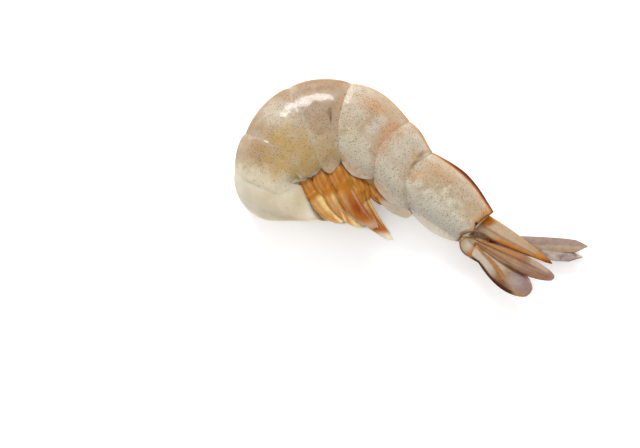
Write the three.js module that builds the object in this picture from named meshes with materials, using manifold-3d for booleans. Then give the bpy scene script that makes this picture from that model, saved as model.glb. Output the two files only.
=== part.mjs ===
// A raw whiteleg shrimp without its head, shell on, curled and lying on its right flank.
// Millimetres. +X runs along the resting length toward the tail fan, +Y toward the back of the
// animal, and +Z up, out of its left flank. The origin is under the middle, on the table.

import * as THREE from 'three';
import { mergeVertices } from 'three/addons/utils/BufferGeometryUtils.js';
import Module from 'manifold-3d';

// Driving dimensions

const SHELL_THICKNESS = 0.5;
const OVERLAP = 1.4; // how far each shell ring reaches under the one before it
const OVERLAP_DROP = 0.85; // shell thickness and a clear gap
const OVERLAP_RISE = 2; // length over which a ring climbs back to the full section
const FLESH_INSET = 1.7; // from the outside of the shell to the flesh
const NECK_SWELL = 0.25; // how far the flesh in front of the first ring stays under its outside
const SHOULDER = 2.2; // superellipse exponent of the back
const PLEURA_TUCK = 0.08; // how much further the side plates close in below the hem

// The joints between the segments, from the front margin of the first ring to the tail fan.
// back is the dorsal line, hem is where the side plates start, half is the half width, height
// is the mid-plane above the table, widest is the part of the depth where the ring is widest,
// closing is how far it narrows at the hem, and sag bows the margin toward the tail.
const JOINTS = [
  { back: [-49.7, 2.8], hem: [-37.2, -2.0], half: 9.8, height: 9.4, widest: 0.92, closing: 0.05, sag: 0 },
  { back: [-46.6, 15.2], hem: [-29.7, 2.6], half: 9.8, height: 9.4, widest: 0.57, closing: 0.26, sag: 2.3 },
  { back: [-34.4, 28.0], hem: [-25.1, 5.4], half: 9.6, height: 9.2, widest: 0.5, closing: 0.28, sag: 0.3 },
  { back: [-16.7, 29.4], hem: [-19.5, 7.6], half: 9.2, height: 8.8, widest: 0.55, closing: 0.28, sag: -2.0 },
  { back: [-0.5, 18.35], hem: [-10.2, 2.5], half: 8.2, height: 7.8, widest: 0.57, closing: 0.3, sag: -3.2 },
  { back: [6.2, 9.6], hem: [0.0, -5.9], half: 7.0, height: 7.4, widest: 0.5, closing: 0.45, sag: -4.2 },
  { back: [22.9, -6.8], hem: [13.8, -15.3], half: 5.2, height: 7.8, widest: 0.5, closing: 0.6, sag: 0 },
];
const SEGMENT_LENGTHS = [8.2, 9.9, 9.9, 14.8, 9.6, 22.8];
const BACK_BULGES = [0.6, 0.6, 0.5, 1.2, 0.5, 2.1];
const PLEURA = [0.6, 0.8, 2.8, 2.6, 2.5, 1.8];

const NECK_LENGTH = 12.4; // flesh that stands out in front of the first ring
const NECK_ROUND = 11.7; // how far the back of the cut end is rounded off
const NECK_CLOSING = 2.4; // narrowing of the flesh toward the cut
const NECK_STEPS = 7;
const NECK_AROUND = 20;
const NECK_BELLY = [-29.6, 0.2];
const CUT_BELLY = [-24.4, -9.6];
const FLESH_GAP = 0.3;
const CORE_DEPTH = 0.97; // the flesh stops a little above the hem
const FLESH_END = 5.97;

// The middle of the whole outline, which sits over the origin.
const MIDDLE = [0.035, -0.145];

// Small helpers

const radians = THREE.MathUtils.degToRad;
const mix = THREE.MathUtils.lerp;

function smooth(x) {
  const t = THREE.MathUtils.clamp(x, 0, 1);
  return t * t * (3 - 2 * t);
}

// A smooth curve through one value for each joint; place is a joint number and a fraction.
const STATIONS = SEGMENT_LENGTHS.reduce((list, length) => [...list, list.at(-1) + length], [0]);

function through(values, place) {
  const last = values.length - 1;
  const k = THREE.MathUtils.clamp(Math.floor(place), 0, last - 1);
  const t = place - k;
  const span = STATIONS[k + 1] - STATIONS[k];
  const slope = (i) => {
    const a = Math.max(i - 1, 0);
    const b = Math.min(i + 1, last);
    return (values[b] - values[a]) / (STATIONS[b] - STATIONS[a]);
  };
  const t2 = t * t;
  const t3 = t2 * t;
  return (2 * t3 - 3 * t2 + 1) * values[k] + (t3 - 2 * t2 + t) * span * slope(k)
    + (3 * t2 - 2 * t3) * values[k + 1] + (t3 - t2) * span * slope(k + 1);
}

function throughPoints(key, place) {
  const x = through(JOINTS.map((joint) => joint[key][0]), place);
  const y = through(JOINTS.map((joint) => joint[key][1]), place);
  return new THREE.Vector2(x, y);
}

function ringAt(place) {
  const at = (key) => through(JOINTS.map((joint) => joint[key]), place);
  const back = throughPoints('back', place);
  const hem = throughPoints('hem', place);
  const down = hem.clone().sub(back).normalize();
  const onward = new THREE.Vector2(-down.y, down.x);
  const k = THREE.MathUtils.clamp(Math.floor(place), 0, SEGMENT_LENGTHS.length - 1);
  back.addScaledVector(down, -BACK_BULGES[k] * Math.sin(Math.PI * THREE.MathUtils.clamp(place - k, 0, 1)));
  return {
    back, hem, down, onward,
    half: at('half'), height: at('height'), widest: at('widest'), closing: at('closing'), sag: at('sag'),
  };
}

// Half width of a ring as a share of its widest, at a share of the depth below the back.
function flankShare(depth, widest, closing) {
  if (depth < widest) {
    return (1 - (1 - depth / widest) ** SHOULDER) ** (1 / SHOULDER);
  }
  const below = Math.min((depth - widest) / (1 - widest), 1);
  return 1 - closing * below * below;
}

// A point of the shell: depth is 0 at the back, 1 at the hem and up to 2 at the end of the
// side plate, side is 1 on the left flank and -1 on the right one, and inset is measured inward.
function shellPoint(place, depth, side, inset, plate) {
  const ring = ringAt(place);
  const upper = Math.min(depth, 1);
  const lower = Math.max(depth - 1, 0);
  const point = ring.back.clone().lerp(ring.hem, upper);
  point.addScaledVector(ring.down, inset * (1 - upper) + plate * lower);
  point.addScaledVector(ring.onward, ring.sag * Math.sin(Math.PI * upper));
  const share = flankShare(upper, ring.widest, ring.closing) - PLEURA_TUCK * lower;
  const z = ring.height + side * (ring.half - inset) * share;
  return new THREE.Vector3(point.x, point.y, Math.max(z, inset));
}

// Depths at which a flank is drawn, closer together over the back where it turns most.
const FLANK_STEPS = 8;
const FLANK_CROWDING = 1.6;
const FLANK_DEPTHS = Array.from({ length: FLANK_STEPS + 1 }, (_, j) => (j / FLANK_STEPS) ** FLANK_CROWDING);

const RING_STEPS = 6;

// How far a ring reaches under the one before it, as a share of that one's length.
function hiddenShare(index) {
  return OVERLAP / SEGMENT_LENGTHS[Math.max(index - 1, 0)];
}

// Closed solids from grids and rings

function solidFrom(points, faces) {
  const geometry = new THREE.BufferGeometry();
  const places = points.flatMap((p) => [p.x, p.y, p.z]);
  geometry.setAttribute('position', new THREE.Float32BufferAttribute(places, 3));
  geometry.setIndex(faces.flat());
  const flat = geometry.toNonIndexed();
  flat.computeVertexNormals();
  return flat;
}

// A skin with an outer and an inner face, each a grid of rows with equal counts.
function skin(outer, inner) {
  const rows = outer.length;
  const columns = outer[0].length;
  const points = [...outer.flat(), ...inner.flat()];
  const start = rows * columns;
  const out = (i, j) => i * columns + j;
  const under = (i, j) => start + i * columns + j;
  const faces = [];
  const quad = (a, b, c, d) => faces.push([a, c, b], [a, d, c]);
  for (let i = 0; i < rows - 1; i += 1) {
    for (let j = 0; j < columns - 1; j += 1) {
      quad(out(i, j), out(i, j + 1), out(i + 1, j + 1), out(i + 1, j));
      quad(under(i, j), under(i + 1, j), under(i + 1, j + 1), under(i, j + 1));
    }
    quad(out(i, 0), out(i + 1, 0), under(i + 1, 0), under(i, 0));
    const last = columns - 1;
    quad(out(i + 1, last), out(i, last), under(i, last), under(i + 1, last));
  }
  for (let j = 0; j < columns - 1; j += 1) {
    quad(out(0, j + 1), out(0, j), under(0, j), under(0, j + 1));
    quad(out(rows - 1, j), out(rows - 1, j + 1), under(rows - 1, j + 1), under(rows - 1, j));
  }
  return solidFrom(points, faces);
}

// Rings of equal counts joined one to the next, the ends closed to their middles.
function loft(rings) {
  const count = rings[0].length;
  const middle = (ring) => ring.reduce((sum, p) => sum.add(p), new THREE.Vector3()).divideScalar(count);
  const points = [...rings.flat(), middle(rings[0]), middle(rings.at(-1))];
  const faces = [];
  for (let i = 0; i < rings.length - 1; i += 1) {
    for (let j = 0; j < count; j += 1) {
      const next = (j + 1) % count;
      const a = i * count;
      const b = a + count;
      faces.push([a + j, a + next, b + next], [a + j, b + next, b + j]);
    }
  }
  const end = (rings.length - 1) * count;
  for (let j = 0; j < count; j += 1) {
    const next = (j + 1) % count;
    faces.push([rings.length * count, next, j]);
    faces.push([rings.length * count + 1, end + j, end + next]);
  }
  return solidFrom(points, faces);
}

const LEAF_ENDS = [0.01, 0.99]; // the part of the curve that is drawn, clear of its sharp points
const LEAF_THICKENING = 3; // how quickly a leaf gains its full thickness
const LEAF_TIP = 0.6; // thickness left at the tip

// A leaf along +X, an ellipse in each section: broad across Y and thin through Z. peak is where
// it is broadest, blunt rounds its ends, arch curls its edges down and side bends the tip sideways.
function leaf({
  length, width, thickness, peak = 0.5, blunt = 0.6, root = 0.3, arch = 0, side = 0,
  steps = 8, around = 10,
}) {
  const power = Math.log(0.5) / Math.log(peak);
  const rings = [];
  for (let i = 0; i <= steps; i += 1) {
    const u = mix(...LEAF_ENDS, i / steps);
    const swell = Math.sin(Math.PI * u ** power) ** blunt;
    const share = Math.max(swell, root * (1 - u));
    const thick = Math.min(1, LEAF_THICKENING * swell + root) * mix(1, LEAF_TIP, u);
    rings.push(Array.from({ length: around }, (_, j) => {
      const angle = (2 * Math.PI * j) / around;
      const y = Math.cos(angle) * share * (width / 2);
      const z = Math.sin(angle) * thick * (thickness / 2);
      const edge = Math.cos(angle) * share;
      return new THREE.Vector3(u * length, y + side * u * u, z - arch * edge * edge);
    }));
  }
  return loft(rings);
}

const wasm = await Module();
wasm.setup();

function toManifold(geometry) {
  const bare = geometry.clone();
  bare.deleteAttribute('normal');
  bare.deleteAttribute('uv');
  const merged = mergeVertices(bare, 1e-4);
  return new wasm.Manifold(new wasm.Mesh({
    numProp: 3,
    vertProperties: new Float32Array(merged.attributes.position.array),
    triVerts: new Uint32Array(merged.index.array),
  }));
}

function fromManifold(solid) {
  const mesh = solid.getMesh();
  const geometry = new THREE.BufferGeometry();
  const places = new Float32Array(mesh.vertProperties);
  geometry.setAttribute('position', new THREE.BufferAttribute(places, 3));
  geometry.setIndex(new THREE.BufferAttribute(new Uint32Array(mesh.triVerts), 1));
  const flat = geometry.toNonIndexed();
  flat.computeVertexNormals();
  return flat;
}

// Placing a leaf: heading turns it in the table plane, rise lifts its tip, roll turns its face.
function placement({ at, heading, rise = 0, roll = 0 }) {
  const turn = new THREE.Euler(radians(roll), radians(-rise), radians(heading), 'ZYX');
  return new THREE.Matrix4().makeRotationFromEuler(turn).setPosition(...at);
}

function joined(geometries) {
  const solids = geometries.map(toManifold);
  return fromManifold(solids.slice(1).reduce((whole, solid) => whole.add(solid), solids[0]));
}

// Materials

const matter = (color, roughness) => new THREE.MeshStandardMaterial({ color, roughness, metalness: 0 });
const FLESH = matter(0xcdc1ae, 0.35);
const SHELL = matter(0xbcae96, 0.22);
const TAIL_SHELL = matter(0xb0926c, 0.25);
const BLADE = matter(0x9d8a7c, 0.28);
const LEG = matter(0xae8350, 0.35);

const shrimp = new THREE.Group();
shrimp.position.set(-MIDDLE[0], -MIDDLE[1], 0);

function add(name, geometry, material) {
  const mesh = new THREE.Mesh(geometry, material);
  mesh.name = name;
  shrimp.add(mesh);
  return mesh;
}

// Flesh: a core under the rings, and a swollen neck in front of them that ends in a flat cut.

// A closed solid of the body through a row of places, at an inset from the outside of the shell.
function bodyLoft(places, inset, plate) {
  const reach = plate > 0 ? 1 : CORE_DEPTH;
  const rings = places.map((place) => {
    const flank = (side) => [
      ...FLANK_DEPTHS.map((depth) => shellPoint(place, depth * reach, side, inset, 0)),
      ...(plate > 0 ? [shellPoint(place, 2, side, inset, plate)] : []),
    ];
    return [...flank(1), ...flank(-1).slice(1).reverse()];
  });
  return loft(rings);
}

function neckRing(front, around) {
  const ring = ringAt(Math.max(-front, 0));
  const turn = (Math.max(front, 0) * Math.PI) / 2;
  const back = ring.back.clone();
  back.x += NECK_ROUND * (1 - Math.cos(turn));
  back.y -= NECK_LENGTH * Math.sin(turn);
  const belly = new THREE.Vector2(
    mix(NECK_BELLY[0], CUT_BELLY[0], front),
    mix(NECK_BELLY[1], CUT_BELLY[1], Math.sin(turn)),
  );
  const half = ring.half - NECK_SWELL - NECK_CLOSING * (1 - Math.cos(turn));
  return Array.from({ length: around }, (_, j) => {
    const angle = (2 * Math.PI * j) / around;
    const level = Math.cos(angle);
    const bend = level > 0 ? SHOULDER : 2;
    const width = (1 - Math.min(Math.abs(level), 1) ** bend) ** (1 / bend);
    const share = width * Math.sign(Math.sin(angle));
    const point = back.clone().lerp(belly, (1 - level) / 2);
    return new THREE.Vector3(point.x, point.y, Math.max(ring.height + half * share, 0));
  });
}

function makeFlesh() {
  const fronts = Array.from({ length: NECK_STEPS + 2 }, (_, i) => 1 - i / NECK_STEPS);
  const neckRings = fronts.map((front) => neckRing(front, NECK_AROUND));
  const corePlaces = SEGMENT_LENGTHS.flatMap((_, k) => [k - hiddenShare(k), k, k + 1 / 3, k + 2 / 3]);
  const core = toManifold(bodyLoft([...corePlaces, FLESH_END], FLESH_INSET, 0));
  const firstRing = Array.from({ length: RING_STEPS + 1 }, (_, i) => i / RING_STEPS);
  const frontGap = -FLESH_GAP / SEGMENT_LENGTHS[0];
  const underShell = toManifold(bodyLoft([frontGap, ...firstRing], -FLESH_GAP, PLEURA[0] + 2 * FLESH_GAP));
  const pieces = toManifold(loft(neckRings)).subtract(underShell).add(core).decompose();
  return fromManifold(pieces.reduce((a, b) => (a.volume() > b.volume() ? a : b)));
}

add('flesh', makeFlesh(), FLESH);

// Shell rings

const HEM_DEPTHS = [1.6, 2];
const HEM_RIM = 0.2; // what the hem adds to every side plate
const PLATE_FULLNESS = 0.7; // below 1 the side plates are squarer than a sine

function makeShell(index) {
  const length = SEGMENT_LENGTHS[index];
  const grid = (extra) => {
    const rows = [];
    for (let i = index === 0 ? 0 : -1; i <= RING_STEPS; i += 1) {
      const share = i / RING_STEPS;
      const place = i < 0 ? index - hiddenShare(index) : index + share;
      const climb = index === 0 ? 1 : smooth((share * length) / OVERLAP_RISE);
      const inset = extra + OVERLAP_DROP * (1 - (i < 0 ? 0 : climb));
      const arc = Math.sin(Math.PI * THREE.MathUtils.clamp(share, 0, 1));
      const plate = PLEURA[index] * arc ** PLATE_FULLNESS;
      const flank = (side) => [
        ...FLANK_DEPTHS.map((depth) => shellPoint(place, depth, side, inset, plate)),
        ...HEM_DEPTHS.map((depth) => shellPoint(place, depth, side, inset, plate + HEM_RIM)),
      ];
      rows.push([...flank(1).reverse(), ...flank(-1).slice(1)]);
    }
    return rows;
  };
  return skin(grid(0), grid(SHELL_THICKNESS));
}

SEGMENT_LENGTHS.forEach((_, index) => {
  add(`shell_${index + 1}`, makeShell(index), SHELL);
});

// Tail fan

const TELSON = { length: 23.6, width: 7, thickness: 2.4, peak: 0.2, blunt: 0.75, root: 1, arch: 0.5 };
const TELSON_PLACE = { at: [19.7, -10.1, 8.4], heading: -31, rise: 1, roll: -40 };
add('telson', leaf(TELSON).applyMatrix4(placement(TELSON_PLACE)), TAIL_SHELL);

const PROTOPOD = { length: 4.6, width: 3.9, thickness: 3.0, blunt: 0.45, root: 0.5 };
const EXOPOD = { length: 19.7, width: 7.2, thickness: 1.0, peak: 0.62, blunt: 0.5, root: 0.5, arch: 0.5 };
const ENDOPOD = { length: 25, width: 6, thickness: 1.0, peak: 0.55, blunt: 0.5, root: 0.4, arch: 0.4 };
const UROPODS = {
  left: {
    protopod: { at: [14.3, -15.5, 10.8], heading: -58, rise: 2, roll: -20 },
    exopod: { at: [17.5, -18.4, 12.1], heading: -38.5, rise: 14, roll: 0 },
    endopod: { at: [18.4, -15.6, 10.5], heading: -25, rise: 11.5, roll: -30 },
    exopodShape: {},
    endopodShape: {},
  },
  right: {
    protopod: { at: [18.7, -12.9, 3.4], heading: -20, rise: 0, roll: -30 },
    exopod: { at: [23.0, -13.2, 3.0], heading: -7.2, rise: 0, roll: -48 },
    endopod: { at: [23.4, -15.2, 3.0], heading: -12.2, rise: 0, roll: -46 },
    exopodShape: { length: 27.2, width: 5.4 },
    endopodShape: { length: 26.2, width: 4.8 },
  },
};

for (const [side, set] of Object.entries(UROPODS)) {
  const exopod = leaf({ ...EXOPOD, ...set.exopodShape });
  const endopod = leaf({ ...ENDOPOD, ...set.endopodShape });
  add(`uropod_protopod_${side}`, leaf(PROTOPOD).applyMatrix4(placement(set.protopod)), TAIL_SHELL);
  add(`uropod_exopod_${side}`, exopod.applyMatrix4(placement(set.exopod)), BLADE);
  add(`uropod_endopod_${side}`, endopod.applyMatrix4(placement(set.endopod)), BLADE);
}

// Swimming legs: a stem with an outer and an inner blade, a pair under each of five segments.
// turn is the heading of the stem and sweep that of the blades, bend is how far the tip of the
// outer blade swings toward the tail, and offset is the distance from the mid-plane.

const LEGS = [
  { root: [-29.2, 1.6], turn: -54, stem: 5.6, sweep: -52, blade: 10.8, bend: 0.4, offset: 3.9, breadth: 4.2 },
  { root: [-24.6, 4.2], turn: -64, stem: 6.4, sweep: -66, blade: 13.0, bend: 3.6, offset: 3.9, breadth: 4.2 },
  { root: [-20.0, 5.2], turn: -66, stem: 6.6, sweep: -69, blade: 13.4, bend: 3.8, offset: 3.8, breadth: 4.2 },
  { root: [-13.9, 2.6], turn: -71, stem: 6.6, sweep: -78, blade: 12.4, bend: 2.8, offset: 3.3, breadth: 4.0 },
  { root: [-9.0, -1.4], turn: -54, stem: 4.6, sweep: -47, blade: 8.4, bend: 0.2, offset: 1.7, breadth: 3.0 },
];
const RIGHT_TURN = 2.5; // degrees by which the right leg of a pair points further to the tail
const STEM_OVERLAP = 1; // how far the blades reach back into the stem
const STEM_WIDTH = 0.76; // width and depth of a stem as shares of the breadth of its blade
const STEM_DEPTH = 0.62;
const STEM_ROLL = -50;
const BLADE_ROLL = -42;
const FORK = 0.6; // distance of each blade from the middle of the stem
const LEG_STEM = { steps: 4, around: 8, blunt: 0.4, root: 0.6 };
const LEG_BLADE = { steps: 6, around: 6, thickness: 0.9, peak: 0.45, blunt: 0.6, root: 0.4, arch: 0.2 };
const OUTER_RISE = 3;
const INNER_RISE = -5;
const INNER_BLADE = { length: 0.72, breadth: 0.76, bend: 0.3 }; // as shares of the outer one
const INNER_TURN = -2; // heading of the inner blade, counted from the outer one

function makeLeg(leg, height, side) {
  const onward = side > 0 ? 0 : RIGHT_TURN;
  const turn = leg.turn + onward;
  const sweep = leg.sweep + onward;
  const ahead = (distance, drift) => [
    leg.root[0] + Math.cos(radians(turn)) * distance,
    leg.root[1] + Math.sin(radians(turn)) * distance,
    height + side * (leg.offset + drift),
  ];
  const { breadth, blade, bend } = leg;
  const stem = leaf({
    ...LEG_STEM,
    length: leg.stem + STEM_OVERLAP,
    width: breadth * STEM_WIDTH,
    thickness: breadth * STEM_DEPTH,
  });
  const outer = leaf({ ...LEG_BLADE, length: blade + STEM_OVERLAP, width: breadth, side: bend });
  const inner = leaf({
    ...LEG_BLADE,
    length: blade * INNER_BLADE.length,
    width: breadth * INNER_BLADE.breadth,
    side: bend * INNER_BLADE.bend,
  });
  const fork = leg.stem - STEM_OVERLAP;
  const places = {
    stem: { at: ahead(0, 0), heading: turn, roll: side * STEM_ROLL },
    outer: { at: ahead(fork, FORK), heading: sweep, rise: side * OUTER_RISE, roll: BLADE_ROLL },
    inner: {
      at: ahead(fork, -FORK), heading: sweep + INNER_TURN, rise: side * INNER_RISE, roll: BLADE_ROLL,
    },
  };
  return joined([
    stem.applyMatrix4(placement(places.stem)),
    outer.applyMatrix4(placement(places.outer)),
    inner.applyMatrix4(placement(places.inner)),
  ]);
}

LEGS.forEach((leg, index) => {
  const { height } = ringAt(index + 0.5);
  add(`pleopod_${index + 1}_left`, makeLeg(leg, height, 1), LEG);
  add(`pleopod_${index + 1}_right`, makeLeg(leg, height, -1), LEG);
});

export default new THREE.Group().add(shrimp);
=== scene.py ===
import math
from functools import partial

import bpy
import numpy as np
from bpy.props import FloatProperty, FloatVectorProperty, PointerProperty
from mathutils import Euler, Matrix, Vector


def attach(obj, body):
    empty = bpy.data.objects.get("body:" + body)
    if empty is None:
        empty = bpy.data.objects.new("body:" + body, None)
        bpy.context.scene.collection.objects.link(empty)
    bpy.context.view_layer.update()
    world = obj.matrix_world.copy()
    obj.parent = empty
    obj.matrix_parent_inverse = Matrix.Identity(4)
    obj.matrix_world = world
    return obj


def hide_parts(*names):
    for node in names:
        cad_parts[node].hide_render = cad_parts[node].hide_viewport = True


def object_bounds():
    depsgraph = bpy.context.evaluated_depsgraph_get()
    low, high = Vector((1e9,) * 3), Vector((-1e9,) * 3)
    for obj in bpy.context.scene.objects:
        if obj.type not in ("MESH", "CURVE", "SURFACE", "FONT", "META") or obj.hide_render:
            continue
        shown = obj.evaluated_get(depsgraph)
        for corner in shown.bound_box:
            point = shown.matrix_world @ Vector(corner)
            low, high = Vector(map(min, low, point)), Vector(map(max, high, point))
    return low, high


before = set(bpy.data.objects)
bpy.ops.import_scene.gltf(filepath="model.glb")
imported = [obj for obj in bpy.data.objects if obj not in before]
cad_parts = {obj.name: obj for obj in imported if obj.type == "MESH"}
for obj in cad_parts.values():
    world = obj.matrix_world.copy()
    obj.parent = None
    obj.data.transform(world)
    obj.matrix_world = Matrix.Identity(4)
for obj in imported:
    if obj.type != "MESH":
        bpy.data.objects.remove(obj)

bl_info = {
    "name": "Raw Shrimp Maker",
    "version": (1, 0, 0),
    "blender": (4, 5, 0),
    "location": "View3D > Sidebar > Shrimp",
    "description": "Makes a raw headless shell-on shrimp lying on its side, with its stage",
    "category": "Add Mesh",
}

MM = 0.001  # lengths below are in millimetres, objects are in metres
CAD_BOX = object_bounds()

# ---------------------------------------------------------------- body plan

# The joints between the segments, from the front margin of the first ring to the tail fan.
# Each has the dorsal point, the point of the hem where the side plates start, the half width,
# the height of the mid-plane, where the ring is widest, how far it closes in at the hem, and
# how far its margin bows toward the tail.
JOINTS = [
    dict(back=(-49.7, 2.8), hem=(-37.2, -2.0), half=9.8, height=9.4, widest=0.92, closing=0.05, sag=0.0),
    dict(back=(-46.6, 15.2), hem=(-29.7, 2.6), half=9.8, height=9.4, widest=0.57, closing=0.26, sag=2.3),
    dict(back=(-34.4, 28.0), hem=(-25.1, 5.4), half=9.6, height=9.2, widest=0.50, closing=0.28, sag=0.3),
    dict(back=(-16.7, 29.4), hem=(-19.5, 7.6), half=9.2, height=8.8, widest=0.55, closing=0.28, sag=-2.0),
    dict(back=(-0.5, 18.35), hem=(-10.2, 2.5), half=8.2, height=7.8, widest=0.57, closing=0.30, sag=-3.2),
    dict(back=(6.2, 9.6), hem=(0.0, -5.9), half=7.0, height=7.4, widest=0.50, closing=0.45, sag=-4.2),
    dict(back=(22.9, -6.8), hem=(13.8, -15.3), half=5.2, height=7.8, widest=0.50, closing=0.60, sag=0.0),
]
# For each ring: its length, how far its back arches out between the joints, and how far its side
# plates hang below the hem.
SEGMENT_LENGTHS = (8.2, 9.9, 9.9, 14.8, 9.6, 22.8)
BACK_BULGES = (0.6, 0.6, 0.5, 1.2, 0.5, 2.1)
PLEURA = (0.6, 0.8, 2.8, 2.6, 2.5, 1.8)
# Height of the crest along the back of each ring, at its front, middle and rear.
NO_KEEL = (0.0, 0.0, 0.0)
KEELS = [NO_KEEL, NO_KEEL, NO_KEEL, (0.0, 0.35, 0.6), (0.45, 0.65, 0.5), (0.4, 0.95, 0.5)]
KEEL_WIDTH = 0.85
# How far each ring steps down under the one before it, at the back and low on the flank.
STEPS = [(0.0, 0.0), (0.7, 0.25), (0.6, 0.25), (0.5, 0.25), (0.2, 0.1), (0.4, 0.15)]
SHOULDER = 2.2  # how square the back is over the shoulder: 2 is an ellipse
PLEURA_TUCK = 0.08  # how far the side plates lean in, as a share of the half width
MIDDLE = np.array([0.035, -0.145])  # middle of the shrimp on the table

# The flesh that stands out in front of the first ring: how far, how much its back rounds over,
# how much thinner it gets, and where its belly starts and meets the cut.
NECK_LENGTH = 12.4
NECK_ROUND = 11.7
NECK_CLOSING = 2.4
NECK_BELLY = (-28.6, 0.2)
CUT_BELLY = (-22.2, -9.6)
NECK_REAR = -0.12  # where the neck ends under the first ring, as a place behind its margin

STATIONS = np.concatenate([[0.0], np.cumsum(SEGMENT_LENGTHS)])


def smooth(x):
    """0 up to 0, 1 from 1 on, and an even curve between."""
    t = np.clip(x, 0.0, 1.0)
    return t * t * (3 - 2 * t)


def after(x, start, over):
    """0 up to start, then rising to 1 over a length."""
    return smooth((x - start) / over)


def until(x, end, over):
    """1, then falling over a length to 0 at end."""
    return smooth((end - x) / over)


def hump(x, centre, reach):
    """A soft bump of height 1 at centre that has faded at reach."""
    return np.exp(-((x - centre) / (0.6 * reach)) ** 2)


def ridge(v, centre, half_width):
    """A bell of height 1 at centre."""
    return np.exp(-((v - centre) / half_width) ** 2)


def between(x, low, high, soft=0.08):
    """1 between low and high, fading over soft on either side."""
    return smooth((x - low) / soft + 0.5) * smooth((high - x) / soft + 0.5)


def through(values, place):
    """A smooth curve through one value for each joint; place is a joint number and a fraction."""
    values = np.asarray(values, float)
    place = np.asarray(place, float)
    last = len(values) - 1
    k = np.clip(np.floor(place).astype(int), 0, last - 1)
    t = place - k
    span = STATIONS[k + 1] - STATIONS[k]

    def slope(i):
        """Steepness of the curve at a joint, from the joints on either side."""
        a = np.maximum(i - 1, 0)
        b = np.minimum(i + 1, last)
        return (values[b] - values[a]) / (STATIONS[b] - STATIONS[a])

    t2 = t * t
    t3 = t2 * t
    return ((2 * t3 - 3 * t2 + 1) * values[k] + (t3 - 2 * t2 + t) * span * slope(k)
            + (3 * t2 - 2 * t3) * values[k + 1] + (t3 - t2) * span * slope(k + 1))


def ring_at(place):
    """The section of the body at each place, as a dictionary of arrays."""
    ring = {key: through([joint[key] for joint in JOINTS], place)
            for key in ("half", "height", "widest", "closing", "sag")}
    for key in ("back", "hem"):
        ring[key] = np.stack([through([joint[key][axis] for joint in JOINTS], place)
                              for axis in (0, 1)], -1)
    down = ring["hem"] - ring["back"]
    ring["depth"] = np.linalg.norm(down, axis=-1)
    down = down / ring["depth"][..., None]
    ring["down"] = down
    ring["onward"] = np.stack([-down[..., 1], down[..., 0]], -1)
    k = np.clip(np.floor(place).astype(int), 0, 5)
    bulge = np.array(BACK_BULGES)[k] * np.sin(np.pi * np.clip(place - k, 0, 1))
    ring["back"] = ring["back"] - down * bulge[..., None]
    return ring


def flank_share(depth, widest, closing):
    """Half width of a ring as a share of its widest, from 0 at the back to the hem."""
    above = (1 - np.clip(1 - depth / widest, 0, 1) ** SHOULDER) ** (1 / SHOULDER)
    below = np.clip((depth - widest) / (1 - widest), 0, 1)
    return np.where(depth < widest, above, 1 - closing * below * below)


def shell_surface(place, depth, side, inset, plate, keel=0.0):
    """Points of the shell in millimetres. depth is 0 at the back, 1 at the hem, 2 at the plate's end."""
    ring = ring_at(place)
    upper = np.minimum(depth, 1)
    lower = np.maximum(depth - 1, 0)
    share = flank_share(upper, ring["widest"], ring["closing"]) - PLEURA_TUCK * lower
    across = (ring["half"] - inset) * share
    crest = keel * np.exp(-(across / KEEL_WIDTH) ** 2)
    point = ring["back"] + (ring["hem"] - ring["back"]) * upper[..., None]
    point = point + ring["down"] * (inset * (1 - upper) + plate * lower - crest)[..., None]
    point = point + ring["onward"] * (ring["sag"] * np.sin(np.pi * upper))[..., None]
    z = np.maximum(ring["height"] + side * across, inset)
    return np.concatenate([point - MIDDLE, z[..., None]], -1)


# ---------------------------------------------------------------- colour

def srgb(red, green, blue):
    """Screen colour from 0 to 255 as the linear values that shaders take."""
    return tuple(((c / 255 + 0.055) / 1.055) ** 2.4 if c > 10 else c / 255 / 12.92
                 for c in (red, green, blue))


# Turns the lattice of the noise away from the axes of the body.
NOISE_TURN = np.array(Euler((0.7, 0.5, 0.9), "XYZ").to_matrix())
# Large odd numbers that scatter the corners of the lattice.
NOISE_AXES = (374761393, 668265263, 1442695041)
NOISE_SEED = 99194853
NOISE_MIX = 1274126177
NOISE_MASK = 0xFFFF


def soft_noise(points, size, seed=0):
    """Seeded smooth random values from -1 to 1 that change over about size millimetres."""
    grid = np.asarray(points, float) @ NOISE_TURN / size
    cell = np.floor(grid).astype(np.int64)
    part = grid - cell
    part = part * part * (3 - 2 * part)
    total = np.zeros(grid.shape[:-1])
    for corner in np.ndindex(2, 2, 2):
        at = cell + np.array(corner)
        mixed = sum(at[..., axis] * NOISE_AXES[axis] for axis in range(3)) + seed * NOISE_SEED
        mixed = (mixed ^ (mixed >> 13)) * NOISE_MIX
        mixed = (mixed ^ (mixed >> 16)) & NOISE_MASK
        weight = np.prod(np.where(np.array(corner) == 1, part, 1 - part), axis=-1)
        total += weight * (mixed / (NOISE_MASK / 2) - 1)
    return total


def blend_in(tint, colour, amount):
    """Mix a colour into an array of colours by an amount for each point."""
    amount = np.clip(amount, 0, 1)[..., None]
    return tint * (1 - amount) + colour * amount


def painted(settings, base, coats):
    """A base colour under coats, each a colour and how strongly it covers each point.
    Colours are the names of settings, or values."""

    def value(colour):
        """The colour itself."""
        return np.array(getattr(settings, colour) if isinstance(colour, str) else colour)

    tint = value(base)
    for colour, amount in coats:
        tint = blend_in(tint, value(colour), amount)
    return tint


# ---------------------------------------------------------------- meshes

SHARP_ANGLE = math.radians(55)  # edges sharper than this stay crisp


def grid_faces(rows, columns, start=0, closed=False):
    """Quads of a grid of points laid out row by row; closed joins the last column to the first."""
    i, j = np.meshgrid(np.arange(rows - 1), np.arange(columns if closed else columns - 1), indexing="ij")
    beside = (j + 1) % columns
    here, beyond = i * columns, (i + 1) * columns
    quads = np.stack([here + j, here + beside, beyond + beside, beyond + j], -1)
    return (quads.reshape(-1, 4) + start).tolist()


def end_faces(rows, columns):
    """The two faces that close the ends of a closed grid."""
    return [list(range(columns)), list(range((rows - 1) * columns, rows * columns))[::-1]]


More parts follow.
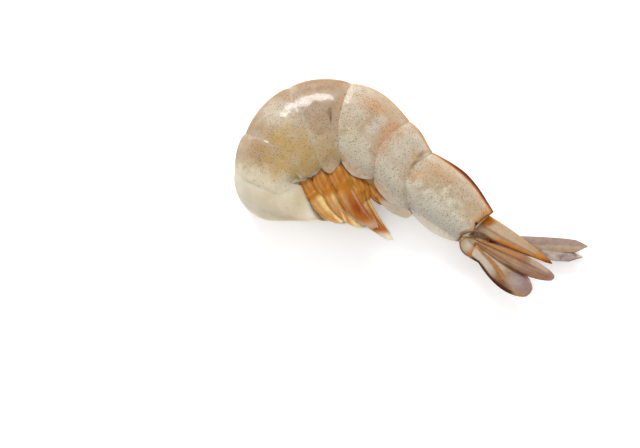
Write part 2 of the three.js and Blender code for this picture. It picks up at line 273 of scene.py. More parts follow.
def merge_parts(parts):
    """Join parts, each its points, faces, tint and dots, into one. A part may have one tint and one
    density of dots for all its points."""
    points, faces, tints, dots = [], [], [], []
    start = 0
    for part_points, part_faces, part_tint, part_dots in parts:
        points.append(part_points)
        faces += [[index + start for index in face] for face in part_faces]
        tints.append(np.broadcast_to(part_tint, part_points.shape))
        dots.append(np.broadcast_to(part_dots, len(part_points)))
        start += len(part_points)
    return np.concatenate(points), faces, np.concatenate(tints), np.concatenate(dots)


def add_piece(name, parts, material, node):
    """Make one mesh object from parts in millimetres, colour it and set it in the frame."""
    points, faces, tint, dots = merge_parts(parts)
    mesh = bpy.data.meshes.new(name)
    mesh.from_pydata((points * MM).tolist(), [], faces)
    mesh.validate()
    rgba = np.concatenate([tint, np.ones((len(tint), 1))], 1)
    for key, kind, field, values in (("tint", "FLOAT_COLOR", "color", rgba),
                                     ("dots", "FLOAT", "value", dots)):
        layer = mesh.attributes.new(key, kind, "POINT")
        layer.data.foreach_set(field, values.astype(np.float32).ravel())
    mesh.polygons.foreach_set("use_smooth", [True] * len(mesh.polygons))
    mesh.set_sharp_from_angle(angle=SHARP_ANGLE)
    mesh.materials.append(material)
    piece = bpy.data.objects.new(name, mesh)
    bpy.context.scene.collection.objects.link(piece)
    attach(piece, "root")
    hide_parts(node)


# ---------------------------------------------------------------- materials

# Pigment dots: their smallest and largest size as shares of the radius, where they fade out and
# where they are full, as shares of their own size, and how strongly they cover.
DOT_RANGE = (0.45, 1.25)
DOT_EDGE = (1.15, 0.55)
DOT_STRENGTH = 0.8
# The fine grain of the skin, in metres.
GRAIN_SIZE = 0.0011
GRAIN_HEIGHT = 0.0004
# How gloss fades as a surface turns away, from full at the first slant to little at the second.
RIM_FADE = (0.33, 0.62, 1.0, 0.06)
GLOSS_PAINT = (0.04, 0.20)  # brightness of paint where gloss starts and where it is full
TISSUE_IOR = 1.42
# The film of water over everything.
WATER_ROUGHNESS = 0.14
WATER_IOR = 1.45


def feed(tree, node, inputs):
    """Set the inputs of a node to values, or link them to the outputs of other nodes."""
    for socket, value in inputs.items():
        if isinstance(value, bpy.types.NodeSocket):
            tree.links.new(value, node.inputs[socket])
        else:
            node.inputs[socket].default_value = value


def add_node(tree, kind, inputs, **choices):
    """Add a shader node with its choices and inputs, and give back its outputs."""
    node = tree.nodes.new("ShaderNode" + kind)
    for key, value in choices.items():
        setattr(node, key, value)
    feed(tree, node, inputs)
    return node.outputs


def mapped(tree, value, low, high, start=0, end=1):
    """A value carried over from the range low to high onto start to end."""
    inputs = {"Value": value, "From Min": low, "From Max": high, "To Min": start, "To Max": end}
    return add_node(tree, "MapRange", inputs)["Result"]


def reckoned(tree, operation, first, second):
    """Two values put together by a sum of the given kind."""
    return add_node(tree, "Math", {0: first, 1: second}, operation=operation)["Value"]


def dotted(tree, place, colour, spacing, radius, paint):
    """Pigment dots over a colour: uneven discs, more of them where the painted density is higher."""
    density = add_node(tree, "Attribute", {}, attribute_name="dots")["Fac"]
    cells = add_node(tree, "TexVoronoi", {"Vector": place, "Scale": 1 / spacing, "Randomness": 1.0})
    chance = add_node(tree, "SeparateColor", {"Color": cells["Color"]})
    smallest, largest = (share * radius / spacing for share in DOT_RANGE)
    reach = mapped(tree, chance["Green"], 0, 1, smallest, largest)
    disc = mapped(tree, reckoned(tree, "DIVIDE", cells["Distance"], reach), *DOT_EDGE)
    present = reckoned(tree, "LESS_THAN", chance["Red"], density)
    amount = reckoned(tree, "MULTIPLY", reckoned(tree, "MULTIPLY", disc, present), DOT_STRENGTH)
    inputs = {"Factor": amount, "A": colour, "B": (*paint, 1)}
    return add_node(tree, "Mix", inputs, data_type="RGBA")["Result"]


def wet_tissue(name, roughness, subsurface, radius, coat, sheen, mottle_size, mottle, bump, dots=None):
    """A wet translucent tissue: painted tint, soft mottling, pigment dots, fine bump and gloss.
    Sizes are in metres; dots are the spacing, radius and paint of the pigment dots."""
    material = bpy.data.materials.new(name)
    material.use_nodes = True
    tree = material.node_tree
    place = add_node(tree, "TexCoord", {})["Object"]
    tint = add_node(tree, "Attribute", {}, attribute_name="tint")["Color"]
    noise = {"Vector": place, "Scale": 1 / mottle_size, "Detail": 5, "Roughness": 0.6}
    shade = mapped(tree, add_node(tree, "TexNoise", noise)["Fac"], 0.3, 0.7, 1 - mottle, 1 + mottle)
    colour = add_node(tree, "VectorMath", {0: tint, "Scale": shade}, operation="SCALE")["Vector"]
    if dots:
        colour = dotted(tree, place, colour, **dots)
    grain = add_node(tree, "TexNoise", {"Vector": place, "Scale": 1 / GRAIN_SIZE, "Detail": 3})["Fac"]
    inputs = {"Height": grain, "Strength": bump, "Distance": GRAIN_HEIGHT}
    relief = add_node(tree, "Bump", inputs)["Normal"]
    slant = add_node(tree, "LayerWeight", {"Blend": 0.5})["Facing"]
    rim = mapped(tree, slant, *RIM_FADE)
    bright = add_node(tree, "RGBToBW", {"Color": tint})["Val"]

    def gloss(full):
        """Full on pale paint, little on dark marks, and fading toward the rim."""
        return reckoned(tree, "MULTIPLY", mapped(tree, bright, *GLOSS_PAINT, 0.2 * full, full), rim)

    feed(tree, tree.nodes["Principled BSDF"], {
        "Base Color": colour, "Roughness": roughness, "IOR": TISSUE_IOR, "Subsurface Weight": subsurface,
        "Subsurface Radius": radius, "Subsurface Scale": MM, "Coat Weight": gloss(coat),
        "Coat Roughness": WATER_ROUGHNESS, "Coat IOR": WATER_IOR, "Specular IOR Level": gloss(sheen),
        "Normal": relief, "Coat Normal": relief,
    })
    return material


# ---------------------------------------------------------------- flesh

# The flesh under the rings: the places it reaches from and to, the rows along it, the columns
# down a flank, how they crowd toward the back, how far down they go, and how much narrower the
# sunken belly is.
CORE_REACH = (-0.05, 6.02)
CORE_ROWS = 150
CORE_COLUMNS = 26
CORE_CROWDING = 1.6
CORE_DEPTH = 0.985
BELLY_NARROWING = 0.14
# The neck: the rows along it and the columns round it, how far it draws in under the first ring,
# how far the cut bulges, and the height of the fibres in the bare flesh.
NECK_ROWS = 64
NECK_COLUMNS = 120
NECK_TUCK = 0.9
CUT_BULGE = 0.5
FIBRE_HEIGHT = 0.16
CUT_CIRCLES = (0.0, 0.2, 0.4, 0.6, 0.8, 0.95)  # circles of points over the cut face
WET_ROWS = 40  # rows behind the cut that carry drops of water
DROP_HEIGHT = 0.4  # height of a drop against its radius


def core_part(settings):
    """The flesh under the rings, amber along the belly where the legs spring."""
    place = np.linspace(*CORE_REACH, CORE_ROWS)
    depth = np.linspace(0, 1, CORE_COLUMNS) ** CORE_CROWDING * CORE_DEPTH
    place_grid, depth_grid = np.meshgrid(place, depth, indexing="ij")
    sink = settings.belly_depth / MM * after(depth_grid, 0.84, 0.14) * between(place_grid, 0.9, 4.6, 0.7)
    ring = ring_at(place_grid)
    flank = []
    for side in (1, -1):
        skin = shell_surface(place_grid, depth_grid, side, settings.core_inset / MM, 0.0)
        skin[..., :2] += ring["down"] * sink[..., None]
        skin[..., 2] = ring["height"] + (skin[..., 2] - ring["height"]) * (1 - BELLY_NARROWING * sink)
        flank.append(skin)
    grid = np.concatenate([flank[0][:, ::-1], flank[1][:, 1:]], 1)
    rows, columns = grid.shape[:2]
    points = grid.reshape(-1, 3)
    faces = grid_faces(rows, columns, closed=True) + end_faces(rows, columns)
    level = np.tile(np.concatenate([depth[::-1], depth[1:]]), rows)
    ragged = soft_noise(points, 2.5, 3)
    legged = np.repeat(after(place, 1.0, 0.35) * until(place, 5.1, 0.5), columns)
    rear = np.repeat(after(place, 5.7, 0.15), columns)
    tint = painted(settings, "flesh_colour", [
        ("belly_colour", after(level, 0.72, 0.2) * (0.85 + 0.3 * ragged) * legged),
        ("belly_colour", rear * until(level, 0.42, 0.12)),
        ("flesh_pale", 0.7 * rear * after(level, 0.42, 0.12)),
    ])
    return points, faces, tint, 0.0


def neck_sections(front):
    """Back and belly ends, half width and mid-plane height of the neck; front is 1 at the cut."""
    ring = ring_at(np.maximum(-front, 0))
    turn = np.maximum(front, 0) * np.pi / 2
    back = ring["back"] + np.stack([NECK_ROUND * (1 - np.cos(turn)), -NECK_LENGTH * np.sin(turn)], -1)
    belly = np.stack([NECK_BELLY[0] + (CUT_BELLY[0] - NECK_BELLY[0]) * front,
                      NECK_BELLY[1] + (CUT_BELLY[1] - NECK_BELLY[1]) * np.sin(turn)], -1)
    half = ring["half"] - NECK_CLOSING * (1 - np.cos(turn))
    return back, belly, half, ring["height"]


def neck_share(level):
    """Half width of the neck as a share of its widest, at a level from 1 at the back to -1."""
    bend = np.where(level > 0, SHOULDER, 2.0)
    return np.clip(1 - np.abs(level) ** bend, 0, 1) ** (1 / bend)


def neck_width_at(flat):
    """Half width of the neck flesh over points of the plan, for the shell to lie down on."""
    front = np.linspace(1, NECK_REAR, 225)
    back, belly, half, _ = neck_sections(front)
    along = belly - back
    offset = flat[..., None, :] - back
    beside = np.abs(along[:, 0] * offset[..., 1] - along[:, 1] * offset[..., 0]) / np.hypot(*along.T)
    nearest = beside.argmin(-1)
    along, offset = along[nearest], flat - back[nearest]
    level = 1 - 2 * (along * offset).sum(-1) / (along ** 2).sum(-1)
    return half[nearest] * neck_share(level)


def neck_parts(settings):
    """The swollen flesh in front of the first ring, rounded over to a flat cut, with painted light over the
    shade beside the first leg, and drops of water painted white as glints.
    """
    front = np.linspace(1, NECK_REAR, NECK_ROWS)
    angle = np.linspace(0, 2 * np.pi, NECK_COLUMNS, endpoint=False)
    back, belly, half, height = neck_sections(front)
    level = np.cos(angle)
    share = neck_share(level) * np.sign(np.sin(angle))
    flat = back[:, None] + (belly - back)[:, None] * ((1 - level) / 2)[None, :, None]
    inset = settings.neck_inset / MM + NECK_TUCK * smooth((under_first_ring(flat) - 0.2) / 3.0)
    z = height[:, None] + (half[:, None] - inset) * share[None, :]
    skin = np.concatenate([flat - MIDDLE, np.maximum(z, 0)[..., None]], -1)
    centre = skin[0].mean(0)
    cut = centre + (skin[0] - centre) * np.array(CUT_CIRCLES)[:, None, None]
    domed = 1 - np.linspace(0, 1, len(cut))[:, None] ** 2
    cut[..., 1] += CUT_BULGE * domed * (1 + soft_noise(cut, 2.2, 5))
    grid = np.concatenate([cut, skin])
    rows, columns = grid.shape[:2]
    points = grid.reshape(-1, 3)
    fibre = soft_noise(points * np.array([1.0, 0.35, 1.0]), 1.6, 11)
    bare = smooth((0.2 - under_first_ring(points[:, :2] + MIDDLE)) / 2.5)
    points[:, 2] += FIBRE_HEIGHT * fibre * smooth((points[:, 2] - 1) / 2) * bare
    wetted = points.reshape(-1, columns, 3)[len(cut):len(cut) + WET_ROWS]
    # The drops are painted near white, a painted glint on each.
    water = droplets(wetted, count=26, low=0.08, high=0.22, colour=settings.flesh_white_and_painted_light, seed=17)
    x, y = points[:, 0], points[:, 1]
    cloudy = smooth(0.4 + soft_noise(points * np.array([1.0, 1.0, 0.6]), 1.3, 8))
    tint = painted(settings, "flesh_colour", [
        ("flesh_pale", (0.5 + 0.5 * soft_noise(points, 4.0, 7)) * 0.6),  # soft clouds
        ("flesh_pale", 0.5 * smooth((-38 - x) / 9)),
        # Painted light: lifts the shade that the first leg casts on the side of the neck.
        ("flesh_white_and_painted_light", 0.6 * after(x, -30.5, 5) * after(y, -9.3, 2)),
        ("flesh_white_and_painted_light", 0.35 * cloudy * smooth((-9.0 - y) / 1.0)),
    ])
    faces = grid_faces(rows, columns, closed=True)
    return [(points, faces, tint, 0.0), water]


def droplets(surface, count, low, high, colour, seed):
    """Small domes of water on a grid of points, with radii from low to high."""
    rng = np.random.default_rng(seed)
    rows, columns = surface.shape[:2]
    middle = surface.reshape(-1, 3).mean(0)
    level = np.linspace(0, np.pi / 2, 5)
    around = np.linspace(0, 2 * np.pi, 12, endpoint=False)
    points, faces = [], []
    while len(points) < count:
        i, j = rng.integers(2, rows - 2), rng.integers(0, columns)
        along = surface[i + 1, j] - surface[i - 1, j]
        across = surface[i, (j + 1) % columns] - surface[i, j - 1]
        normal = np.cross(along, across)
        normal *= np.sign(normal @ (surface[i, j] - middle)) / np.linalg.norm(normal)
        if abs(normal[2]) < 0.4:  # too steep for a drop to stay
            continue
        along /= np.linalg.norm(along)
        across = np.cross(normal, along)
        radius = rng.uniform(low, high)
        circle = np.cos(around)[:, None] * along + np.sin(around)[:, None] * across
        flat = np.cos(level)[:, None, None] * circle
        dome = flat * radius + np.sin(level)[:, None, None] * normal * radius * DROP_HEIGHT
        start = len(points) * dome.shape[0] * dome.shape[1]
        points.append((surface[i, j] + dome).reshape(-1, 3))
        faces += grid_faces(len(level), len(around), start=start, closed=True)
    return np.concatenate(points), faces, colour, 0.0


def under_first_ring(flat):
    """How far inside the front margin and the hem of the first ring a point lies."""
    first, second = JOINTS[0], JOINTS[1]

    def beyond(start, end):
        """How far to the left of a line from start to end the points lie."""
        edge = np.subtract(end, start)
        normal = np.array([-edge[1], edge[0]]) / np.hypot(*edge)
        return (flat - np.array(start)) @ normal

    return np.minimum(beyond(first["back"], first["hem"]), beyond(first["hem"], second["hem"]))


# ---------------------------------------------------------------- shell rings

# Pigment on each ring, with painted light in the cream and pale patches low on the rear rings: share
# of its length, depth, reach across and along in millimetres, colour and strength. Both flanks carry it
# alike.
PATCHES = [
    [  # ring 1
        (0.75, 0.90, 10.0, 7.0, "olive", 0.80), (0.45, 0.60, 6.0, 6.0, "olive", 0.60),
        (0.50, 0.36, 7.0, 6.0, "brown", 0.22),
    ],
    [  # ring 2
        (0.40, 0.72, 11.0, 9.0, "olive", 0.74), (0.75, 0.94, 7.0, 6.0, "olive", 0.72),
        (0.15, 0.45, 6.0, 4.0, "olive", 0.55), (0.60, 0.20, 5.0, 3.5, "pale", 0.5),
        (0.89, 0.03, 2.8, 2.4, "brown", 0.55), (0.10, 0.04, 3.0, 2.0, "brown", 0.45),
        (0.92, 1.60, 9.0, 2.6, "amber", 0.50),
    ],
    [  # ring 3
        (0.25, 0.90, 9.0, 7.0, "olive", 0.56), (0.75, 1.00, 5.0, 4.0, "olive", 0.45),
        (0.52, 0.05, 3.8, 6.5, "brown", 0.58), (0.50, 0.40, 6.0, 5.0, "brown", 0.34),
        (0.75, 0.50, 2.2, 0.30, "umber", 0.80), (0.70, 0.42, 1.2, 0.40, "umber", 0.50),
        (0.95, 0.30, 7.0, 0.6, "amber", 0.30), (0.80, 1.45, 9.0, 3.6, "amber", 0.75),
        (0.70, 0.56, 5.0, 4.0, "brown", 0.22), (0.35, 1.75, 8.0, 3.4, "amber", 0.70),
    ],
    [  # ring 4
        (0.03, 0.16, 5.0, 0.9, "cream", 0.70), (0.42, 0.50, 5.0, 5.0, "brown", 0.14),
        (0.07, 1.00, 3.6, 2.6, "amber", 0.85), (0.42, 1.50, 12.0, 5.5, "amber", 0.55),
        # The cream patch low on the flank is partly lighter tissue and partly painted light over the shade
        # there.
        (0.22, 0.35, 8.0, 5.0, "pale", 0.60), (0.35, 0.82, 6.0, 9.0, "cream", 0.70),
        (0.20, 0.60, 5.0, 4.0, "olive", 0.22), (0.52, 0.18, 2.2, 4.6, "orange", 0.60),
        (0.70, 0.38, 5.0, 2.0, "pale", 0.5), (0.95, 0.24, 4.0, 1.6, "orange", 0.70),
        (0.97, 0.50, 5.5, 1.4, "orange", 0.65),
    ],
    [  # ring 5
        (0.20, 1.50, 12.0, 3.5, "amber", 0.40), (0.06, 0.40, 6.0, 1.6, "orange", 0.60),
        # The cream patch low on the flank is partly lighter tissue and partly painted light over the shade
        # there.
        (0.45, 0.30, 5.0, 4.0, "pale", 0.6), (0.50, 0.90, 6.0, 6.0, "cream", 0.8),
        (0.80, 0.42, 2.6, 2.6, "brown", 0.2), (0.90, 0.16, 2.0, 0.7, "brown", 0.80),
        (0.97, 0.30, 2.2, 0.6, "brown", 0.90),
    ],
    [  # ring 6
        (0.01, 0.42, 2.4, 0.9, "brown", 0.75), (0.12, 0.45, 2.6, 2.4, "amber", 0.55),
        (0.30, 0.20, 3.0, 8.0, "orange", 0.25), (0.52, 0.42, 3.5, 7.0, "brown", 0.16),
        # The cream and pale patches low on the belly are partly lighter tissue and partly painted light over
        # the shade there.
        (0.45, 0.80, 6.0, 16.0, "cream", 1.00), (0.50, 0.98, 5.0, 16.0, "pale", 0.60),
        (0.98, 0.25, 6.0, 1.4, "amber", 0.85), (0.98, 0.80, 2.0, 0.8, "umber", 0.75),
        (0.96, 0.12, 1.8, 1.4, "amber", 0.9),
    ],
]

# How strongly brown runs along the back of each ring.
BACK_BANDS = (0.38, 0.38, 0.38, 0.20, 0.0, 0.0)
# How strongly the rear margin of each ring shows: its pale rim and the amber line inside it.
MARGINS = [(0.5, 0.2), (0.6, 0.25), (0.6, 0.50), (0.15, 0.2), (0.1, 0.25), (0.1, 0.95)]
# Places just in front of the joint of the tail: its dark spot, and the way its margin points.
TAIL_JOINT = 5.98
HINGE = 5.99

# Where pigment dots crowd on each ring: share, depth, reach across, reach along, density.
DOT_CLUSTERS = [
    [  # ring 1
        (0.50, 0.40, 7.0, 6.0, 0.85),
    ],
    [  # ring 2
        (0.30, 0.20, 6.0, 4.0, 0.95), (0.35, 0.50, 4.0, 3.5, 0.95), (0.82, 0.42, 6.5, 2.4, 1.0),
    ],
    [  # ring 3
        (0.45, 0.60, 6.5, 4.5, 0.85), (0.80, 0.38, 3.0, 1.6, 1.0),
    ],
    [  # ring 4
        (0.35, 0.55, 5.0, 5.0, 0.90), (0.50, 0.20, 4.0, 6.0, 0.85), (0.92, 0.45, 7.0, 2.2, 0.90),
    ],
    [  # ring 5
        (0.82, 0.42, 5.0, 3.0, 0.95),
    ],
    [  # ring 6
        (0.62, 0.36, 5.0, 6.5, 0.95), (0.25, 0.55, 5.0, 5.0, 0.70),
    ],
]

# Points on a ring: the length between its rows, the columns down a flank, how they crowd toward
# the back, and where the columns down the side plates lie.
RING_SPACING = 0.26
FLANK_COLUMNS = 54
BACK_CROWDING = 1.5
PLATE_LEVELS = (1.15, 1.35, 1.6, 1.8, 1.93, 2.0)
# Margins: how far ahead of its front edge a ring starts to climb out from under the one before
# it, over what length its rear comes down on the next one, the gap that stays there, how much
# thinner it gets, and how far and over what length it flares.
CLIMB_START = 0.4
LANDING = 0.6
LANDING_GAP = 0.04
THINNING = 0.8
FLARE = 0.03
FLARE_LENGTH = 2.2
# Side plates: how blunt they are, and the least that they hang down.
PLATE_BLUNT = 0.7
PLATE_LEAST = 0.15
# The first ring: where its two skins lie against the full width of the neck, and over what length
# it comes down to them.
NECK_LEVELS = (-0.11, -0.26)
NECK_LANDING = 2.6
# Waves in the surface of the rings: height, size and seed.
RING_WAVES = ((0.10, 3.5, 41), (0.05, 1.5, 42))
MID_HEIGHT = 9.0  # height of the middle of the rings over the table


def patch_strength(index, share, depth, spot, ragged):
    """Strength of one pigment patch over a ring, with a ragged edge."""
    at_share, at_depth, across, along = spot
    length = SEGMENT_LENGTHS[index]
    deep = ring_at(index + at_share)["depth"]
    gone = np.hypot((share - at_share) * length / along, (depth - at_depth) * deep / across)
    return smooth(1.25 - gone + 0.45 * ragged)  # full to a quarter of its reach, gone a quarter past it


def ring_colours(index, share, depth, points, settings):
    """Tint and dot density over one shell ring."""
    length = SEGMENT_LENGTHS[index]
    ragged = soft_noise(points, 1.6, 21) + 0.5 * soft_noise(points, 0.7, 22)
    margin = (1 - share) * length
    across = ring_at(index + share)["half"] * flank_share(np.minimum(depth, 1), 0.55, 0.3)
    high = 1.0 if index == 5 else 1 - 0.75 * after(depth, 0.3, 0.3)
    rim, line = MARGINS[index]
    coats = [
        ("shell_grey", 0.8 * hump(depth, 0.25, 0.5) * (index in (1, 2))),
        ("pale", 0.35 * smooth(0.5 + soft_noise(points, 5.0, 25))),
        ("pale", 0.30 * smooth(1 - share * length / 2.4)),
        ("brown", BACK_BANDS[index] * until(depth, 0.24, 0.24) * smooth(0.8 + 0.35 * ragged)),
        # The side plates are paler; low on the flank of the rear rings pale is painted light over the shade
        # where they turn away from the back light.
        ("pale", 0.5 * smooth(1.2 * (depth - 1)) + 0.35 * after(depth, 0.72, 0.2) * (index > 2)),
        ("brown", 0.14 * hump(depth, 0.35, 0.5) * (index < 4)),
    ]
    coats += [(colour, strength * patch_strength(index, share, depth, spot, ragged))
              for *spot, colour, strength in PATCHES[index]]
    coats += [
        ("pale", rim * high * hump(margin, 0.15, 0.5) * smooth(0.6 + ragged)),
        ("amber", line * high * hump(margin, 0.55, 0.6) * smooth(0.5 + ragged)),
    ]
    if index in (3, 4):
        along = after(share, 0.25, 0.6) if index == 3 else np.ones_like(share)
        worn = smooth(0.75 + 0.6 * ragged) * along
        coats += [
            ("orange", 0.60 * until(across, 2.8, 2.0) * worn),
            ("amber", 0.80 * until(across, 1.7, 0.9) * worn),
            ("brown", 0.50 * until(across, 0.9, 0.5) * worn),
        ]
    if index == 5:
        grown = after(share, 0.04, 0.35)
        from_hinge = np.hypot(margin - 0.35, (depth - 0.45) * ring_at(TAIL_JOINT)["depth"])
        coats += [
            ("amber", 0.85 * smooth((2.0 + 0.7 * grown - across) / 1.2)),
            ("rust", 0.90 * smooth((1.1 + 0.9 * grown - across) / 0.8)),
            ("umber", 0.95 * grown * smooth((1.3 - across + 0.2 * ragged) / 0.6)),
            ("brown", 0.6 * until(margin, 1.3, 0.7)),
            ("umber", 0.75 * until(margin, 0.55, 0.3)),
            (np.array(settings.umber) * 0.3, until(from_hinge, 0.62, 0.25)),
        ]
    bare = np.zeros_like(share)
    if index == 0:
        front = smooth((4.8 - share * length + ragged) / 3.6)
        bare = np.maximum(front, after(depth, 0.66, 0.24) * until(share, 0.8, 0.35))
    coats.append(("shell_flesh", 0.95 * bare))
    dots = 0.72 + 0.25 * soft_noise(points, 4.0, 31)
    for *spot, density in DOT_CLUSTERS[index]:
        dots = np.maximum(dots, density * patch_strength(index, share, depth, spot, 0.6 * ragged))
    dots = dots * until(depth, 1.5, 0.4) * smooth(0.2 + across / 2.5) * (1 - 0.85 * bare)
    return painted(settings, "shell_colour", coats), dots


def hinge_wave(share, depth):
    """The wavy rear margin of the sixth ring, round the joint of the tail."""
    wave = 0.7 * hump(depth, 0.0, 0.24) + 0.8 * hump(depth, 0.60, 0.14) - 0.6 * hump(depth, 0.84, 0.12)
    ahead = wave * after(share, 0.86, 0.14)
    onward = ring_at(HINGE)["onward"]
    return np.concatenate([ahead[..., None] * onward, np.zeros_like(ahead)[..., None]], -1)


def lie_on_neck(flank, side, share, above):
    """Bring the front margin and the hem of the first ring down to the flesh it lies on."""
    flat = flank[..., :2] + MIDDLE
    inside = np.maximum(under_first_ring(flat), 0)
    near = smooth(1 - inside / NECK_LANDING) * until(share, 1, 0.3)
    lying = ring_at(0.0)["height"] + side * (neck_width_at(flat) + above)
    settled = flank.copy()
    settled[..., 2] = np.maximum(flank[..., 2] * (1 - near) + lying * near, 0)
    return settled


def shell_part(index, settings):
    """One ring: an outer and an inner skin joined round their margins."""
    length = SEGMENT_LENGTHS[index]
    share = np.linspace(0, 1, int(length / RING_SPACING))
    if index:
        ahead = settings.overlap / MM / SEGMENT_LENGTHS[index - 1]
        share = np.concatenate([[-ahead, -ahead / 2], share])
    depth = np.concatenate([np.linspace(0, 1, FLANK_COLUMNS) ** BACK_CROWDING, PLATE_LEVELS])
    place_grid, depth_grid = np.meshgrid(index + share, depth, indexing="ij")
    share_grid = place_grid - index
    margin = (1 - share_grid) * length
    low = after(depth_grid, 0.25, 0.3)
    step, next_step = (settings.step / MM * (upper + (lower - upper) * low)
                       for upper, lower in (STEPS[index], STEPS[min(index + 1, 5)]))
    climb = smooth((share_grid * length + CLIMB_START) / (settings.rise / MM)) if index else 1.0
    landing = smooth(1 - margin / LANDING) * (index < 5)
    lift_off = FLARE * smooth(1 - margin / FLARE_LENGTH) - (next_step - LANDING_GAP) * landing
    drop = step * (1 - climb) - lift_off
    thin = settings.thickness / MM * (1 - THINNING * landing)
    plate = PLEURA[index] * np.sin(np.pi * np.clip(share_grid, 0, 1)) ** PLATE_BLUNT + PLATE_LEAST
    keel = np.interp(share_grid, (0.0, 0.5, 1.0), KEELS[index])
    skins = []
    for inset, above in zip((drop, drop + thin), NECK_LEVELS):
        flanks = [shell_surface(place_grid, depth_grid, side, inset, plate, keel) for side in (1, -1)]
        if index == 0:
            flanks = [lie_on_neck(flank, side, share_grid, above) for flank, side in zip(flanks, (1, -1))]
        if index == 5:
            flanks = [flank + hinge_wave(share_grid, depth_grid) for flank in flanks]
        skins.append(np.concatenate([flanks[0][:, ::-1], flanks[1][:, 1:]], 1))
    rows, columns = skins[0].shape[:2]
    outer, inner = (skin.reshape(-1, 3) for skin in skins)
    wave = sum(height * soft_noise(outer, size, seed) for height, size, seed in RING_WAVES)
    upward = outer[:, 2] - MID_HEIGHT
    lift = after(np.abs(upward), 1, 3) * np.sign(upward) * (outer[:, 2] > 3)
    if index == 0:
        lift = lift * smooth(under_first_ring(outer[:, :2] + MIDDLE) / 2.5)
    for skin in (outer, inner):
        skin[:, 2] += wave * lift
    both = np.concatenate([depth[::-1], depth[1:]])
    tint, dots = ring_colours(index, np.repeat(share, columns), np.tile(both, rows), outer, settings)
    return (np.concatenate([outer, inner]), skin_faces(rows, columns),
            np.concatenate([tint, tint]), np.concatenate([dots, dots]))


def skin_faces(rows, columns):
    """Faces of an outer and an inner grid of points and of the rim that joins them."""
    count = rows * columns
    faces = [face[::-1] for face in grid_faces(rows, columns)] + grid_faces(rows, columns, start=count)

    def join(a, b, flip):
        """Close the rim between two neighbouring points of the outer grid."""
        rim = [a, b, b + count, a + count]
        faces.append(rim[::-1] if flip else rim)

    for j in range(columns - 1):
        for i, flip in ((0, False), (rows - 1, True)):
            join(i * columns + j, i * columns + j + 1, flip)
    for i in range(rows - 1):
        for j, flip in ((0, True), (columns - 1, False)):
            join(i * columns + j, (i + 1) * columns + j, flip)
    return faces


# ---------------------------------------------------------------- leaves: fan blades and legs

# Hairs: half their width, how unevenly they point, and how far their tips hang for their length.
HAIR_WIDTH = 0.045
HAIR_SPREAD = 0.10
HAIR_DROOP = (0.12, 0, -0.06)
HAIR_ROOTS = 0.96  # where hairs spring, as a share of the half width
LAST_HAIR = 0.985  # where the last hair stands, as a share of the length
LEAF_ENDS = (0.03, 0.985)  # where the points of a leaf start and end, before they crowd to its ends
# Shares of its length over which a leaf thins to an edge at its root and its tip.
ROOT_EDGE = 0.06
TIP_EDGE = 0.08


def placement(at, heading, rise=0.0, roll=0.0):
    """Set a leaf in the body: heading turns it over the table, rise lifts its tip, roll turns its face."""
    turn = Euler((math.radians(roll), math.radians(-rise), math.radians(heading)), "XYZ")
    shift = Vector((at[0] - MIDDLE[0], at[1] - MIDDLE[1], at[2]))
    return Matrix.Translation(shift) @ turn.to_matrix().to_4x4()


def moved(points, matrix):
    """Points set in place by a matrix."""
    turn = np.array(matrix.to_3x3())
    return points @ turn.T + np.array(matrix.translation)


def leaf_outline(u, peak, blunt, root, point=0.0):
    """Half width along a leaf as a share of its widest; point is how much of it tapers to the tip."""
    swell = np.sin(np.pi * u ** (math.log(0.5) / math.log(peak))) ** blunt
    swell = swell * np.clip((1.0 - u) / max(point, 0.001), 0, 1) ** 0.8
    return np.maximum(swell, root * (1 - u)), swell


def leaf_points(length, width, thickness, peak, blunt, root, arch=0.0, side=0.0, point=0.0,
                relief=None, steps=60, around=48):
    """A leaf along +X, broad across Y and thin through Z, with u along it and v across it."""
    u = 0.5 - 0.5 * np.cos(np.pi * np.linspace(*LEAF_ENDS, steps))
    angle = np.linspace(0, 2 * np.pi, around, endpoint=False)
    share, swell = leaf_outline(u, peak, blunt, root, point)
    ends = np.clip((1 - u) / TIP_EDGE, 0, 1) * np.clip(u / ROOT_EDGE, 0, 1)
    thick = np.minimum(1, 3 * swell + root) * (1 - 0.4 * u) * ends ** 0.5
    u_grid, angle_grid = np.meshgrid(u, angle, indexing="ij")
    v = np.cos(angle_grid)
    face = np.sin(angle_grid)
    y = v * share[:, None] * width / 2 + side * u_grid ** 2
    z = face * thick[:, None] * thickness / 2 - arch * (v * share[:, None]) ** 2
    if relief:
        z = z + relief(u_grid, v) * face
    points = np.stack([u_grid * length, y, z], -1).reshape(-1, 3)
    faces = grid_faces(steps, around, closed=True) + end_faces(steps, around)
    return points, faces, u_grid.ravel(), v.ravel()


